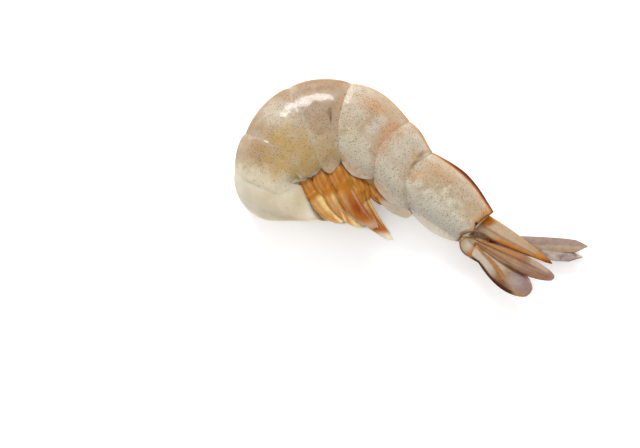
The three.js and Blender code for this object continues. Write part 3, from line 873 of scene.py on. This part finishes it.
def fringe(shape, start, reach, spacing, colour, seed):
    """Fine hairs along both margins of a leaf from start to its tip."""
    rng = np.random.default_rng(seed)
    length, side = shape["length"], shape.get("side", 0)
    count = max(4, int(length * (1 - start) / spacing))
    points, faces = [], []
    for edge in (1, -1):
        for u in np.linspace(start, LAST_HAIR, count):
            share, _ = leaf_outline(u, shape["peak"], shape["blunt"], shape["root"], shape.get("point", 0))
            foot = np.array([u * length, edge * share * shape["width"] / 2 * HAIR_ROOTS + side * u * u,
                             -shape.get("arch", 0) * share ** 2])
            # Hairs turn from sideways to forward toward the tip, and are short where they start.
            ahead = 0.7 + 0.9 * u + rng.normal(0, HAIR_SPREAD)
            outward = edge * (1.1 - u) + 1.4 * side * u / length
            way = np.array([ahead, outward, rng.normal(0, HAIR_SPREAD)])
            way /= np.linalg.norm(way)
            long = reach * (0.6 + 0.5 * rng.random()) * min(1, 4 * (u - start) + 0.25)
            wide = np.array([way[1], -way[0], 0]) * HAIR_WIDTH
            base = len(points)
            knee = foot + way * long * 0.6
            droop = np.array(HAIR_DROOP) * long
            points += [foot + wide, foot - wide, knee + wide * 0.6, knee - wide * 0.6,
                       foot + way * long + droop]
            faces += [[base, base + 1, base + 3, base + 2], [base + 2, base + 3, base + 4]]
    return np.array(points), faces, colour, 0.0


def leaf_parts(shape, place, paint, hairs=None):
    """A painted leaf, with hairs where it has them."""
    points, faces, u, v = leaf_points(**shape)
    tint, dots = paint(u, v, points)
    parts = [(points, faces, tint, dots)]
    if hairs:
        parts.append(fringe(shape, **hairs))
    return [(moved(p, place), f, t, d) for p, f, t, d in parts]


# ---------------------------------------------------------------- tail fan

def telson_relief(u, v):
    """Two ridges with a groove between them."""
    raised = 0.30 * (ridge(v, 0.55, 0.12) + ridge(v, -0.55, 0.12)) - 0.22 * ridge(v, 0, 0.3)
    return raised * (1 - u) ** 0.5


def exopod_line(u):
    """Where the slanting ridge of the outer blade runs across it."""
    return 0.60 - 1.75 * u


def exopod_relief(u, v):
    """A slanting ridge with a groove beside it, and a raised outer margin."""
    line, fade = exopod_line(u), until(u, 0.7, 0.2)
    return (0.30 * ridge(v, line, 0.11) * fade + 0.14 * ridge(v, -0.9, 0.12)
            - 0.10 * ridge(v, line + 0.3, 0.15) * fade)


def endopod_relief(u, v):
    """Two ridges and a groove that run the length of the inner blade."""
    raised = 0.28 * ridge(v, 0.16, 0.10) + 0.12 * ridge(v, -0.55, 0.1) - 0.10 * ridge(v, -0.15, 0.12)
    return raised * (1 - u) ** 0.5


def paint_telson(settings, u, v, points):
    """Tail spike: tan, with a whitish middle, an orange root and margins, and a brown tip."""
    ragged = soft_noise(points, 1.4, 51)
    triangle = smooth((0.17 + 0.06 * v - u) / 0.05) * after(v, -0.60, 0.4)
    lower = smooth((-v - 0.66 - 0.08 * ragged) / 0.12) * after(u, 0.20, 0.15)
    return painted(settings, "telson_colour", [
        ("pale", 0.45 * ridge(v, 0.05, 0.75) * until(u, 0.80, 0.5)),
        ("orange", 0.55 * ridge(v, 0.66, 0.06) * after(u, 0.08, 0.1)),
        ("orange", 0.80 * after(v, 0.84, 0.08)),
        ("brown", 0.70 * after(v, 0.93, 0.05)),
        ("orange", triangle),
        ("orange", 0.95 * lower),
        ("brown", 0.75 * ridge(v, -0.55, 0.07) * between(u, 0.05, 0.8, 0.06)),
        ("brown", 0.70 * after(-v, 0.90, 0.06) * smooth(u / 0.1)),
        ("orange", 0.85 * smooth((u - 0.70 + 0.05 * ragged) / 0.15)),
        ("brown", 0.95 * smooth((u - 0.86 + 0.04 * ragged) / 0.10)),
    ]), 0.5 * (1 - u)


def blade_noise(points, seed):
    """Ragged values from about -1.6 to 1.6 for the marks on a fan blade."""
    return soft_noise(points, 1.5, seed) + 0.6 * soft_noise(points, 0.6, seed + 1)


def paint_exopod(settings, u, v, points):
    """Outer fan blade: a slanting orange ridge between clear stretches, dark outer margin, lilac end."""
    ragged = blade_noise(points, 61)
    past = v - exopod_line(u)
    edges = ridge(past, -0.03, 0.06) + ridge(past, 0.24, 0.06)
    return painted(settings, "blade_colour", [
        ("water", 0.9 * between(past, -1.1, -0.10, 0.15) * until(u, 0.52, 0.2)),
        ("water", 0.8 * between(past, 0.30, 1.6, 0.2) * until(u, 0.62, 0.2)),
        ("orange", 0.70 * ridge(past, 0.10, 0.13) * until(u, 0.66, 0.1)),
        ("brown", 0.55 * edges * until(u, 0.66, 0.1)),
        ("orange", 0.9 * until(u, 0.07, 0.05) * ridge(v, 0.45, 0.5)),
        ("brown", 0.8 * between(u, 0.50, 0.74, 0.12) * smooth((-v - 0.15 + 0.3 * ragged) / 0.3)),
        ("lilac", 0.9 * smooth((u - 0.60 + 0.05 * ragged) / 0.1) * after(v, -0.62, 0.3)),
        # Painted highlight: a pale middle on the lilac end.
        ("water", 0.42 * hump(u, 0.74, 0.18) * ridge(v, -0.05, 0.5)),
        ("umber", 0.95 * smooth((-v - 0.68 + 0.06 * ragged) / 0.14) * until(u, 0.86, 0.1) * smooth(u / 0.1)),
        ("pale", 0.7 * after(v, 0.80, 0.1) * between(u, 0.4, 0.92, 0.1)),
        ("brown", 0.7 * ridge(v, 0.74, 0.07) * between(u, 0.40, 0.75, 0.1)),
        ("brown", 0.5 * after(u, 0.965, 0.02)),
    ]), 0.5 * after(u, 0.2, 0.3)


def paint_far_exopod(settings, u, v, points):
    """Outer blade of the fan below: clear and lilac, with a brown edge."""
    ragged = blade_noise(points, 61)
    return painted(settings, "blade_colour", [
        ("water", 0.50 * smooth(0.6 + 0.4 * ragged)),
        ("lilac", 0.60 * after(v, -0.5, 0.8)),
        ("brown", 0.85 * after(v, 0.86, 0.06) * until(u, 0.93, 0.1)),
        ("brown", 0.30 * ridge(v, 0.25, 0.06) * until(u, 0.9, 0.3)),
        ("brown", 0.6 * until(u, 0.12, 0.06)),
    ]), 0.3


def paint_endopod(settings, u, v, points):
    """Inner fan blade: brown root, orange and brown ridges, a mauve end."""
    ragged = blade_noise(points, 71)
    return painted(settings, "blade_colour", [
        ("brown", 0.42 * until(u, 0.42, 0.3) + 0.30 * hump(u, 0.45, 0.25)),
        ("mauve", 0.85 * smooth((u - 0.42 + 0.1 * ragged) / 0.2)),
        ("water", 0.45 * after(v, 0.10, 0.3) * between(u, 0.68, 0.92, 0.10)),
        ("orange", 0.75 * ridge(v, 0.50, 0.16) * until(u, 0.66, 0.2)),
        ("brown", 0.95 * ridge(v, 0.16, 0.09) * until(u, 0.82, 0.15)),
        ("orange", 0.5 * ridge(v, -0.25, 0.08) * until(u, 0.62, 0.15)),
        ("brown", 0.9 * ridge(v, -0.55, 0.09) * until(u, 0.52, 0.12)),
        ("brown", 0.8 * ridge(v, -0.35, 0.09) * between(u, 0.8, 0.95, 0.06)),
        ("umber", 0.8 * smooth((-v - 0.80 + 0.08 * ragged) / 0.1) * between(u, 0.45, 0.72, 0.12)),
        ("brown", 0.55 * after(np.abs(v), 0.86, 0.1)),
        ("lilac", 0.6 * after(u, 0.93, 0.04)),
    ]), 0.4


def paint_far_endopod(settings, u, v, points):
    """Inner blade of the fan below: clear lilac with brown margins."""
    ragged = blade_noise(points, 71)
    return painted(settings, "lilac", [
        ("water", 0.80 * smooth(0.6 + 0.6 * ragged)),
        ("brown", 0.35 * after(np.abs(v), 0.88, 0.08)),
    ]), 0.5


def paint_knob(settings, u, v, points):
    """Round part of a fan stem: a painted white gleam, then orange, with brown margins."""
    ragged = soft_noise(points, 0.9, 81)
    return painted(settings, "telson_colour", [
        # Painted highlight: the white gleam.
        ("water", 0.95 * hump(u, 0.42, 0.42) * ridge(v, -0.05, 0.7)),
        ("orange", 0.8 * smooth((u - 0.66 + 0.1 * ragged) / 0.15)),
        ("brown", 0.8 * after(u, 0.86, 0.08)),
        ("brown", 0.7 * after(np.abs(v), 0.86, 0.08)),
        ("brown", 0.5 * until(u, 0.10, 0.05)),
    ]), 0.2


def paint_arm(settings, u, v, points):
    """Long part of a fan stem: pale tan with an orange stripe and a dark edge."""
    ragged = soft_noise(points, 0.9, 82)
    return painted(settings, "telson_colour", [
        ("pale", 0.4 * smooth(0.3 + ragged)),
        ("umber", 0.45 * after(v, 0.55, 0.15)),
        ("orange", 0.6 * ridge(v, 0.25, 0.15)),
        ("brown", 0.6 * after(u, 0.6, 0.3) * smooth(0.5 + ragged)),
    ]), 0.2


TELSON = dict(length=23.8, width=7.2, thickness=2.2, peak=0.2, blunt=0.75, root=1.12, arch=0.5,
              relief=telson_relief)
KNOB = dict(length=5.6, width=4.3, thickness=3.1, peak=0.5, blunt=0.42, root=0.6)
ARM = dict(length=8.0, width=2.7, thickness=1.9, peak=0.4, blunt=0.5, root=0.7)
EXOPOD = dict(length=20.6, width=8.0, thickness=0.8, peak=0.62, blunt=0.48, root=0.62, arch=0.5,
              relief=exopod_relief)
ENDOPOD = dict(length=26.4, width=6.0, thickness=0.8, peak=0.62, blunt=0.50, root=0.42, arch=0.4,
               relief=endopod_relief)
FAR_EXOPOD = dict(EXOPOD, length=28.6, width=4.7, peak=0.55, blunt=0.25, point=0.13, relief=endopod_relief)
FAR_ENDOPOD = dict(ENDOPOD, length=26.8, width=4.2, blunt=0.35, point=0.15)

TELSON_PLACE = dict(at=(19.9, -9.4, 8.4), heading=-31, rise=1, roll=-40)
# Each side: the parts of a uropod, where each springs and how it is turned.
NEAR_FAN = {
    "knob": dict(at=(14.7, -14.8, 10.6), heading=-55, rise=4, roll=-20),
    "arm": dict(at=(14.2, -14.8, 10.6), heading=-8, rise=-2, roll=-30),
    "exopod": dict(at=(17.6, -17.6, 11.5), heading=-37.3, rise=12, roll=-6),
    "endopod": dict(at=(17.0, -14.6, 10.4), heading=-25.5, rise=12, roll=-30),
}
FAR_FAN = {
    "knob": dict(at=(18.2, -12.6, 3.6), heading=-24, rise=0, roll=-30),
    "arm": dict(at=(16.5, -12.8, 3.6), heading=-12, rise=0, roll=-30),
    "exopod": dict(at=(22.4, -15.2, 3.1), heading=-3.2, rise=0, roll=-24),
    "endopod": dict(at=(22.9, -16.2, 3.5), heading=-8, rise=0, roll=-24),
}
# For each side: its places, and the shape and paint of its outer and its inner blade.
FANS = [
    ("left", NEAR_FAN, EXOPOD, paint_exopod, ENDOPOD, paint_endopod),
    ("right", FAR_FAN, FAR_EXOPOD, paint_far_exopod, FAR_ENDOPOD, paint_far_endopod),
]


# ---------------------------------------------------------------- swimming legs

# One pair under each of the first five rings: where the stem springs, its heading and length,
# the heading, length and bend of the blade, the distance from the mid-plane, the breadth of
# stem and blade, how dark the blade is (below 0 for the pale last pair), and how pale its tip is.
LEGS = [
    dict(root=(-29.9, 2.6), turn=-54, stem=7.2, sweep=-53, blade=12.0, bend=1.2, offset=4.8, stout=6.0,
         breadth=6.4, dark=0.0, tip=0.2),
    dict(root=(-25.8, 5.4), turn=-63, stem=8.4, sweep=-67, blade=14.2, bend=4.2, offset=4.7, stout=7.0,
         breadth=5.6, dark=0.35, tip=0.3),
    dict(root=(-21.4, 7.4), turn=-64, stem=9.0, sweep=-75, blade=15.0, bend=5.4, offset=4.7, stout=7.2,
         breadth=6.8, dark=0.9, tip=0.3),
    dict(root=(-17.2, 4.6), turn=-64, stem=8.6, sweep=-84, blade=15.0, bend=8.4, offset=4.3, stout=7.2,
         breadth=6.2, dark=0.9, tip=1.0),
    dict(root=(-11.6, 2.6), turn=-54, stem=7.2, sweep=-41, blade=11.4, bend=0.3, offset=2.8, stout=5.8,
         breadth=5.0, dark=-1.0, tip=1.0),
]
# How the legs of the far side are shifted and turned against those of the near side.
FAR_SHIFT = [(1.0, -0.4), (1.2, -0.6), (0.8, -0.6), (-1.4, 0.6), (0.6, 0.4)]
FAR_TURN = 3
FAR_SWEEP = 2.5
# How far the stems run on into the blades, and how far back over the stems the blades start.
STEM_RUN = 1.6
BLADE_BACK = 2.6
INNER_SIZE = 0.8  # size and darkness of the inner blade against the outer one
BLADE_STREAKS = np.array([0.18, 1.6, 1])  # stretches streaks along a blade
RESTING_HEIGHT = 1.5  # legs bend below this height where they would sink into the table


def leg_relief(u, v):
    """A middle ridge and fine lengthwise folds."""
    return 0.16 * ridge(v, 0.1, 0.14) * (1 - u) + 0.07 * np.cos(9 * v) * (1 - u) ** 0.5


def stem_relief(u, v):
    """One ridge and one groove along a stem."""
    return 0.10 * ridge(v, 0.3, 0.2) - 0.08 * ridge(v, -0.25, 0.14)


def fine_lines(points, v, count, seed):
    """Fine lengthwise lines, from 0 between them to 1 on them."""
    lines = 0.5 + 0.5 * np.cos(count * v + 2.5 * soft_noise(points * np.array([0.25, 0.3, 1]), 1.0, seed))
    return lines ** 3


def paint_stem(settings, u, v, points):
    """Leg stem: amber with fine lengthwise streaks."""
    streak = soft_noise(points * np.array([0.35, 1.2, 1]), 1.1, 91)
    return painted(settings, "orange", [
        ("dark", 0.45 * smooth(0.2 + streak) + 0.25 * after(u, 0.6, 0.4)),
        ("yellow", 0.38 * smooth(-0.1 - streak)),
        ("yellow", 0.24 * fine_lines(points, v, 13, 96)),
        ("dark", 0.4 * after(np.abs(v), 0.86, 0.1)),
    ]), 0.12


def paint_pale_blade(settings, u, v, points):
    """Blade of the last pair: thin and greyish, amber at its root."""
    streak = soft_noise(points * BLADE_STREAKS, 0.9, 93)
    return painted(settings, np.array(settings.pale) * 0.52, [
        ("yellow", 0.12 * smooth(0.3 + streak)),
        ("orange", 0.9 * until(u, 0.32, 0.2)),
    ]), 0.2


def paint_leg_blade(settings, dark, tip, u, v, points):
    """Leg blade: yellow to amber with fine lines, a dark core, pale streaks painted as highlights, and a
    pale tip.
    """
    streak = soft_noise(points * BLADE_STREAKS, 0.9, 93)
    core = hump(u, 0.58, 0.50) * ridge(v, 0.15, 1.0) * smooth(0.6 + 0.6 * streak + 0.6 * dark)
    return painted(settings, "yellow", [
        ("orange", 0.95 * smooth(0.15 + 1.4 * dark + 0.8 * streak)),
        ("orange", 0.8 * smooth((-v - 0.2 + 0.2 * streak) / 0.3) * (dark == 0)),
        ("yellow", 0.34 * fine_lines(points, v, 16, 95) * smooth(0.5 + streak)),
        ("dark", dark * 1.1 * core),
        # Painted highlights: two thin pale streaks along the blade.
        ("pale", 0.60 * ridge(v, -0.62, 0.06) * between(u, 0.1, 0.55, 0.2)),
        ("pale", 0.40 * ridge(v, 0.42, 0.05) * between(u, 0.2, 0.75, 0.2)),
        ("yellow", 0.7 * after(v, 0.62, 0.2) * until(u, 0.8, 0.3)),
        ("orange", 0.6 * after(np.abs(v), 0.88, 0.08)),
        ("orange", until(u, 0.26, 0.16)),
        ("pale", tip * after(u, 0.78, 0.16)),
    ]), 0.1


STEM = dict(thickness=1.8, peak=0.5, blunt=0.32, root=0.9, arch=0.4, relief=stem_relief, steps=30,
            around=32)
BLADE = dict(thickness=0.5, peak=0.40, blunt=0.5, root=0.8, arch=0.25, relief=leg_relief, steps=40,
             around=32)


def leg_parts(index, side, settings):
    """A stem with an outer and an inner blade."""
    leg = LEGS[index]
    far = side < 0
    turn = leg["turn"] + far * FAR_TURN
    sweep = leg["sweep"] + far * FAR_SWEEP
    root = [at + far * shift for at, shift in zip(leg["root"], FAR_SHIFT[index])]
    z = ring_at(index + 0.5)["height"] + side * leg["offset"]
    direction = (math.cos(math.radians(turn)), math.sin(math.radians(turn)))

    def ahead(distance, drift):
        """A place some way down the stem and out from it."""
        return (root[0] + direction[0] * distance, root[1] + direction[1] * distance, z + side * drift)

    def blade(size, bend, drift, heading, rise, roll, tip):
        """A blade of some share of the size and bend of the leg's own."""
        shape = dict(BLADE, length=leg["blade"] * size, side=leg["bend"] * bend,
                     width=leg["breadth"] * settings.blade_breadth * size)
        paint = (partial(paint_pale_blade, settings) if leg["dark"] < 0
                 else partial(paint_leg_blade, settings, leg["dark"] * size, tip))
        place = placement(ahead(leg["stem"] - BLADE_BACK, drift), heading, rise, roll)
        return leaf_parts(shape, place, paint, hairs)

    hairs = dict(start=0.45, reach=settings.fringe_length / MM, spacing=0.14, colour=settings.pale,
                 seed=100 + index)
    stem = dict(STEM, length=leg["stem"] + STEM_RUN, width=leg["stout"])
    return (leaf_parts(stem, placement(ahead(0, 0), turn, roll=-18), partial(paint_stem, settings))
            + blade(1, bend=1, drift=0.7, heading=sweep, rise=side * 2, roll=-20, tip=leg["tip"])
            + blade(INNER_SIZE, bend=0.35, drift=-0.9, heading=sweep + 6, rise=side * -4, roll=-26, tip=0.3))


def above_table(points):
    """Tips that would sink into the table bend up onto it."""
    lowest = points[:, 2].min()
    if lowest >= 0:
        return points
    bent = points.copy()
    low = points[:, 2] < RESTING_HEIGHT
    bent[low, 2] = RESTING_HEIGHT * (points[low, 2] - lowest) / (RESTING_HEIGHT - lowest)
    return bent


# ---------------------------------------------------------------- settings

def length_setting(name, description, millimetres):
    """A length that is given in millimetres and kept in metres."""
    return FloatProperty(name=name, description=description, default=millimetres * MM, min=0.0,
                         unit="LENGTH", subtype="DISTANCE", precision=5)


def colour_setting(name, description, red, green, blue):
    """A colour that is given as it looks on a screen, from 0 to 255."""
    return FloatVectorProperty(name=name, description=description, default=srgb(red, green, blue), size=3,
                               min=0.0, max=1.0, subtype="COLOR")


def amount_setting(name, description, default, most=100.0, **kind):
    """A plain number from 0 up."""
    return FloatProperty(name=name, description=description, default=default, min=0.0, max=most, **kind)


class ShrimpFleshSettings(bpy.types.PropertyGroup):
    """Sizes and colours of the flesh"""
    core_inset: length_setting("Core inset", "Depth of the flesh under the outside of the shell", 0.8)
    belly_depth: length_setting("Belly depth", "How far the belly sinks between the legs", 3.0)
    neck_inset: length_setting("Neck inset", "Depth of the neck flesh under the line of the shell", 0.15)
    flesh_colour: colour_setting("Flesh", "Grey cream of the raw flesh", 186, 172, 141)
    flesh_pale: colour_setting("Pale flesh", "Lighter clouding in the flesh", 206, 197, 180)
    # The white of the cut flesh; also painted light: the glint on the drops and the light over the shade
    # beside the first leg.
    flesh_white_and_painted_light: colour_setting("Water", "Pale glint of the drops on the cut flesh", 242, 239, 230)
    belly_colour: colour_setting("Belly", "Amber tissue where the legs spring", 180, 124, 52)


class ShrimpShellSettings(bpy.types.PropertyGroup):
    """Sizes and colours of the shell rings"""
    thickness: length_setting("Thickness", "Thickness of the shell", 0.18)
    overlap: length_setting("Overlap", "How far a ring reaches under the one before it", 1.4)
    step: length_setting("Step", "Height of the step where two rings overlap", 0.24)
    rise: length_setting("Rise", "Length over which a ring climbs back to full size", 2.2)
    dot_size: length_setting("Dot size", "Radius of a pigment dot", 0.145)
    dot_spacing: length_setting("Dot spacing", "Distance between pigment dots", 0.39)
    shell_colour: colour_setting("Shell", "Grey tan of the shell over flesh", 174, 146, 112)
    shell_grey: colour_setting("Grey", "Greyer upper flank", 160, 144, 125)
    shell_flesh: colour_setting("Bare", "Flesh that shows past the thin front of the shell", 202, 185, 155)
    # Pale also paints light low on the rear rings and the sixth ring's belly, over the shade where they turn
    # away from the back light.
    pale: colour_setting("Pale", "Pale translucent margins", 199, 185, 166)
    # Cream is partly the lighter tissue low on the rear rings and partly painted light over the shade there.
    cream: colour_setting("Cream", "Lightest tissue low on the rear rings", 207, 192, 164)
    olive: colour_setting("Olive", "Olive amber tint low on the flank", 176, 138, 72)
    brown: colour_setting("Brown", "Brown pigment bands", 136, 99, 60)
    orange: colour_setting("Orange", "Rosy orange pigment", 188, 134, 92)
    amber: colour_setting("Amber", "Amber joints and margins", 186, 126, 62)
    rust: colour_setting("Rust", "Red brown of the keel", 158, 66, 22)
    umber: colour_setting("Umber", "Darkest marks", 66, 26, 12)


class ShrimpTailSettings(bpy.types.PropertyGroup):
    """Sizes and colours of the tail fan"""
    fringe_length: length_setting("Fringe", "Length of the hairs round the blades", 0.35)
    telson_colour: colour_setting("Telson", "Amber tan of the tail spike", 155, 128, 97)
    blade_colour: colour_setting("Blade", "Tan grey of the fan blades", 140, 112, 80)
    pale: colour_setting("Pale", "Whitish middle of the tail spike", 176, 159, 137)
    # Also paints the gleam on the fan stems and a pale middle on the ends of the outer blades: both painted
    # highlights.
    water: colour_setting("Water", "Bluish white of the clear stretches", 174, 164, 148)
    orange: colour_setting("Orange", "Orange ridges", 170, 102, 12)
    brown: colour_setting("Brown", "Brown lines", 104, 60, 26)
    umber: colour_setting("Umber", "Dark margins", 58, 30, 18)
    lilac: colour_setting("Lilac", "Lilac grey blade ends", 122, 103, 104)
    mauve: colour_setting("Mauve", "Mauve brown of the inner blade", 118, 86, 66)


class ShrimpLegSettings(bpy.types.PropertyGroup):
    """Sizes and colours of the swimming legs"""
    fringe_length: length_setting("Fringe", "Length of the hairs on the blades", 0.8)
    blade_breadth: amount_setting("Breadth", "Breadth of the blades against their plain size", 1.0,
                                  most=1.5, subtype="FACTOR")
    yellow: colour_setting("Yellow", "Pale yellow of the blades", 206, 178, 118)
    orange: colour_setting("Orange", "Amber of the stems", 160, 99, 20)
    dark: colour_setting("Dark", "Brown orange core of the bundle", 134, 56, 4)
    # Pale also paints the thin streaks along the blades: painted highlights.
    pale: colour_setting("Pale", "Whitish tips and hairs", 204, 192, 172)


class ShrimpStageSettings(bpy.types.PropertyGroup):
    """The floor, the lights and the camera"""
    floor_size: length_setting("Floor", "Side of the square floor", 3000)
    floor_glow: amount_setting("Floor glow", "Light that the table gives off", 0.22, subtype="FACTOR")
    camera_height: length_setting("Camera height", "Height of the camera over the table", 900)
    view_width: length_setting("View width", "Width seen by the camera", 180.8)
    key_power: amount_setting("Back light", "Power of the back softbox", 3.4, unit="POWER")
    top_power: amount_setting("Top light", "Power of the overhead softbox", 3.0, unit="POWER")
    sky: amount_setting("Sky", "Brightness of the light from all round", 0.72, subtype="FACTOR")


# ---------------------------------------------------------------- operators

# The stage, in metres. The softboxes have a place, a target, a width and a height; the camera
# hangs to the right of the left end of the part, and below its upper end.
FLOOR_LEVEL = -0.00005
BACK_SOFTBOX = dict(place=(-0.103, 0.48, 0.392), target=(-0.01, 0.01, 0.01), wide=0.42, tall=0.2)
TOP_SOFTBOX = dict(place=(0.05, -0.05, 1.2), target=(0, 0, 0), wide=1.2, tall=1.2)
CAMERA_RIGHT = 0.0243
CAMERA_DOWN = 0.041
SENSOR_WIDTH = 36  # in millimetres, like the lens


class SHRIMP_OT_flesh(bpy.types.Operator):
    """Make the flesh with its cut neck"""
    bl_idname = "shrimp.flesh"
    bl_label = "Flesh"

    def execute(self, context):
        settings = context.scene.shrimp_flesh
        tissue = wet_tissue("Raw flesh", roughness=0.32, subsurface=0.7, radius=(2.4, 2.0, 1.6), coat=0.5,
                            sheen=0.5, mottle_size=0.0035, mottle=0.06, bump=0.2)
        add_piece("Flesh", [core_part(settings), *neck_parts(settings)], tissue, "flesh")
        return {"FINISHED"}


class SHRIMP_OT_shell(bpy.types.Operator):
    """Make the six overlapping shell rings"""
    bl_idname = "shrimp.shell"
    bl_label = "Shell rings"

    def execute(self, context):
        settings = context.scene.shrimp_shell
        tissue = wet_tissue("Wet shell", roughness=0.34, subsurface=0.5, radius=(1.8, 1.5, 1.2), coat=1.0,
                            sheen=0.2, mottle_size=0.0022, mottle=0.07, bump=0.12,
                            dots=dict(spacing=settings.dot_spacing, radius=settings.dot_size,
                                      paint=srgb(98, 66, 36)))
        for index in range(len(SEGMENT_LENGTHS)):
            ring = index + 1
            add_piece(f"Shell_ring_{ring}", [shell_part(index, settings)], tissue, f"shell_{ring}")
        return {"FINISHED"}


class SHRIMP_OT_tail_fan(bpy.types.Operator):
    """Make the telson and the two pairs of fan blades with their stems"""
    bl_idname = "shrimp.tail_fan"
    bl_label = "Tail fan"

    def execute(self, context):
        settings = context.scene.shrimp_tail
        tissue = wet_tissue("Tail shell", roughness=0.36, subsurface=0.35, radius=(1.6, 1.0, 0.6), coat=0.35,
                            sheen=0.15, mottle_size=0.0012, mottle=0.10, bump=0.2,
                            dots=dict(spacing=0.0005, radius=0.00011, paint=srgb(88, 54, 32)))

        def leaf(shape, place, paint, hairs=None):
            """One painted leaf, set in its place."""
            return leaf_parts(shape, placement(**place), partial(paint, settings), hairs)

        hairs = dict(start=0.5, reach=settings.fringe_length / MM, spacing=0.06, colour=settings.lilac,
                     seed=200)
        add_piece("Telson", leaf(TELSON, TELSON_PLACE, paint_telson), tissue, "telson")
        for side, places, exopod, paint_outer, endopod, paint_inner in FANS:
            stem = leaf(KNOB, places["knob"], paint_knob) + leaf(ARM, places["arm"], paint_arm)
            outer = leaf(exopod, places["exopod"], paint_outer, hairs)
            inner = leaf(endopod, places["endopod"], paint_inner, hairs)
            for kind, parts, slot in (("protopod", stem, "tail_shell"), ("exopod", outer, "tail_blade"),
                                      ("endopod", inner, "tail_blade")):
                add_piece(f"Fan_{kind}_{side}", parts, tissue, f"uropod_{kind}_{side}")
        return {"FINISHED"}


class SHRIMP_OT_legs(bpy.types.Operator):
    """Make the five pairs of swimming legs"""
    bl_idname = "shrimp.legs"
    bl_label = "Swimming legs"

    def execute(self, context):
        settings = context.scene.shrimp_legs
        tissue = wet_tissue("Leg skin", roughness=0.38, subsurface=0.4, radius=(1.6, 0.9, 0.4), coat=0.3,
                            sheen=0.12, mottle_size=0.0012, mottle=0.12, bump=0.25,
                            dots=dict(spacing=0.0006, radius=0.0001, paint=srgb(104, 62, 28)))
        for index in range(len(LEGS)):
            for side, word in ((1, "left"), (-1, "right")):
                points, *rest = merge_parts(leg_parts(index, side, settings))
                add_piece(f"Leg_{index + 1}_{word}", [(above_table(points), *rest)], tissue,
                          f"pleopod_{index + 1}_{word}")
        return {"FINISHED"}


class SHRIMP_OT_stage(bpy.types.Operator):
    """Make the pale floor, the softboxes and the camera"""
    bl_idname = "shrimp.stage"
    bl_label = "Stage"

    def execute(self, context):
        settings = context.scene.shrimp_stage
        half = settings.floor_size / 2
        mesh = bpy.data.meshes.new("Floor")
        corners = [(-half, -half, 0), (half, -half, 0), (half, half, 0), (-half, half, 0)]
        mesh.from_pydata(corners, [], [(0, 1, 2, 3)])
        floor = bpy.data.objects.new("Floor", mesh)
        floor.location.z = FLOOR_LEVEL
        context.scene.collection.objects.link(floor)
        white = bpy.data.materials.new("White table")
        white.use_nodes = True
        # The table glows a little, though it is no lamp: it whitens the floor and lifts the shade on the
        # floor and the lower flanks.
        feed(white.node_tree, white.node_tree.nodes["Principled BSDF"], {
            "Base Color": (0.96, 0.96, 0.96, 1), "Roughness": 0.7, "Specular IOR Level": 0.2,
            "Emission Color": (1, 1, 1, 1), "Emission Strength": settings.floor_glow,
        })
        mesh.materials.append(white)

        add_softbox("Back softbox", settings.key_power, **BACK_SOFTBOX)
        add_softbox("Top softbox", settings.top_power, **TOP_SOFTBOX)
        world = context.scene.world or bpy.data.worlds.new("Studio")
        context.scene.world = world
        world.use_nodes = True
        feed(world.node_tree, world.node_tree.nodes["Background"],
             {"Color": (1, 1, 1, 1), "Strength": settings.sky})
        context.scene.view_settings.view_transform = "Standard"

        camera = bpy.data.objects.new("Camera", bpy.data.cameras.new("Camera"))
        context.scene.collection.objects.link(camera)
        low, high = CAD_BOX
        level = (low[2] + high[2]) / 2
        camera.location = (low[0] + CAMERA_RIGHT, high[1] - CAMERA_DOWN, settings.camera_height)
        camera.data.sensor_width = SENSOR_WIDTH
        camera.data.lens = SENSOR_WIDTH * (settings.camera_height - level) / settings.view_width
        camera.data.clip_start = 0.01
        context.scene.camera = camera
        return {"FINISHED"}


def add_softbox(name, power, place, target, wide, tall):
    """A rectangular area light at a place, turned to its target."""
    light = bpy.data.lights.new(name, "AREA")
    light.shape = "RECTANGLE"
    light.size = wide
    light.size_y = tall
    light.energy = power
    lamp = bpy.data.objects.new(name, light)
    lamp.location = place
    lamp.rotation_euler = (Vector(target) - Vector(place)).to_track_quat("-Z", "Y").to_euler()
    bpy.context.scene.collection.objects.link(lamp)


class SHRIMP_PT_panel(bpy.types.Panel):
    """Buttons for the pieces of the shrimp"""
    bl_idname = "SHRIMP_PT_panel"
    bl_label = "Raw shrimp"
    bl_space_type = "VIEW_3D"
    bl_region_type = "UI"
    bl_category = "Shrimp"

    def draw(self, context):
        for operator in OPERATORS:
            self.layout.operator(operator.bl_idname)


OPERATORS = (SHRIMP_OT_flesh, SHRIMP_OT_shell, SHRIMP_OT_tail_fan, SHRIMP_OT_legs, SHRIMP_OT_stage)
SETTINGS = {
    "shrimp_flesh": ShrimpFleshSettings,
    "shrimp_shell": ShrimpShellSettings,
    "shrimp_tail": ShrimpTailSettings,
    "shrimp_legs": ShrimpLegSettings,
    "shrimp_stage": ShrimpStageSettings,
}


def register():
    for group in SETTINGS.values():
        bpy.utils.register_class(group)
    for cls in (*OPERATORS, SHRIMP_PT_panel):
        bpy.utils.register_class(cls)
    for key, group in SETTINGS.items():
        setattr(bpy.types.Scene, key, PointerProperty(type=group))


def unregister():
    for key in SETTINGS:
        delattr(bpy.types.Scene, key)
    for cls in reversed((*OPERATORS, SHRIMP_PT_panel)):
        bpy.utils.unregister_class(cls)
    for group in SETTINGS.values():
        bpy.utils.unregister_class(group)


def main():
    """Build the shrimp and its stage."""
    register()
    bpy.ops.shrimp.flesh()
    bpy.ops.shrimp.shell()
    bpy.ops.shrimp.tail_fan()
    bpy.ops.shrimp.legs()
    bpy.ops.shrimp.stage()


if __name__ == "__main__":
    main()
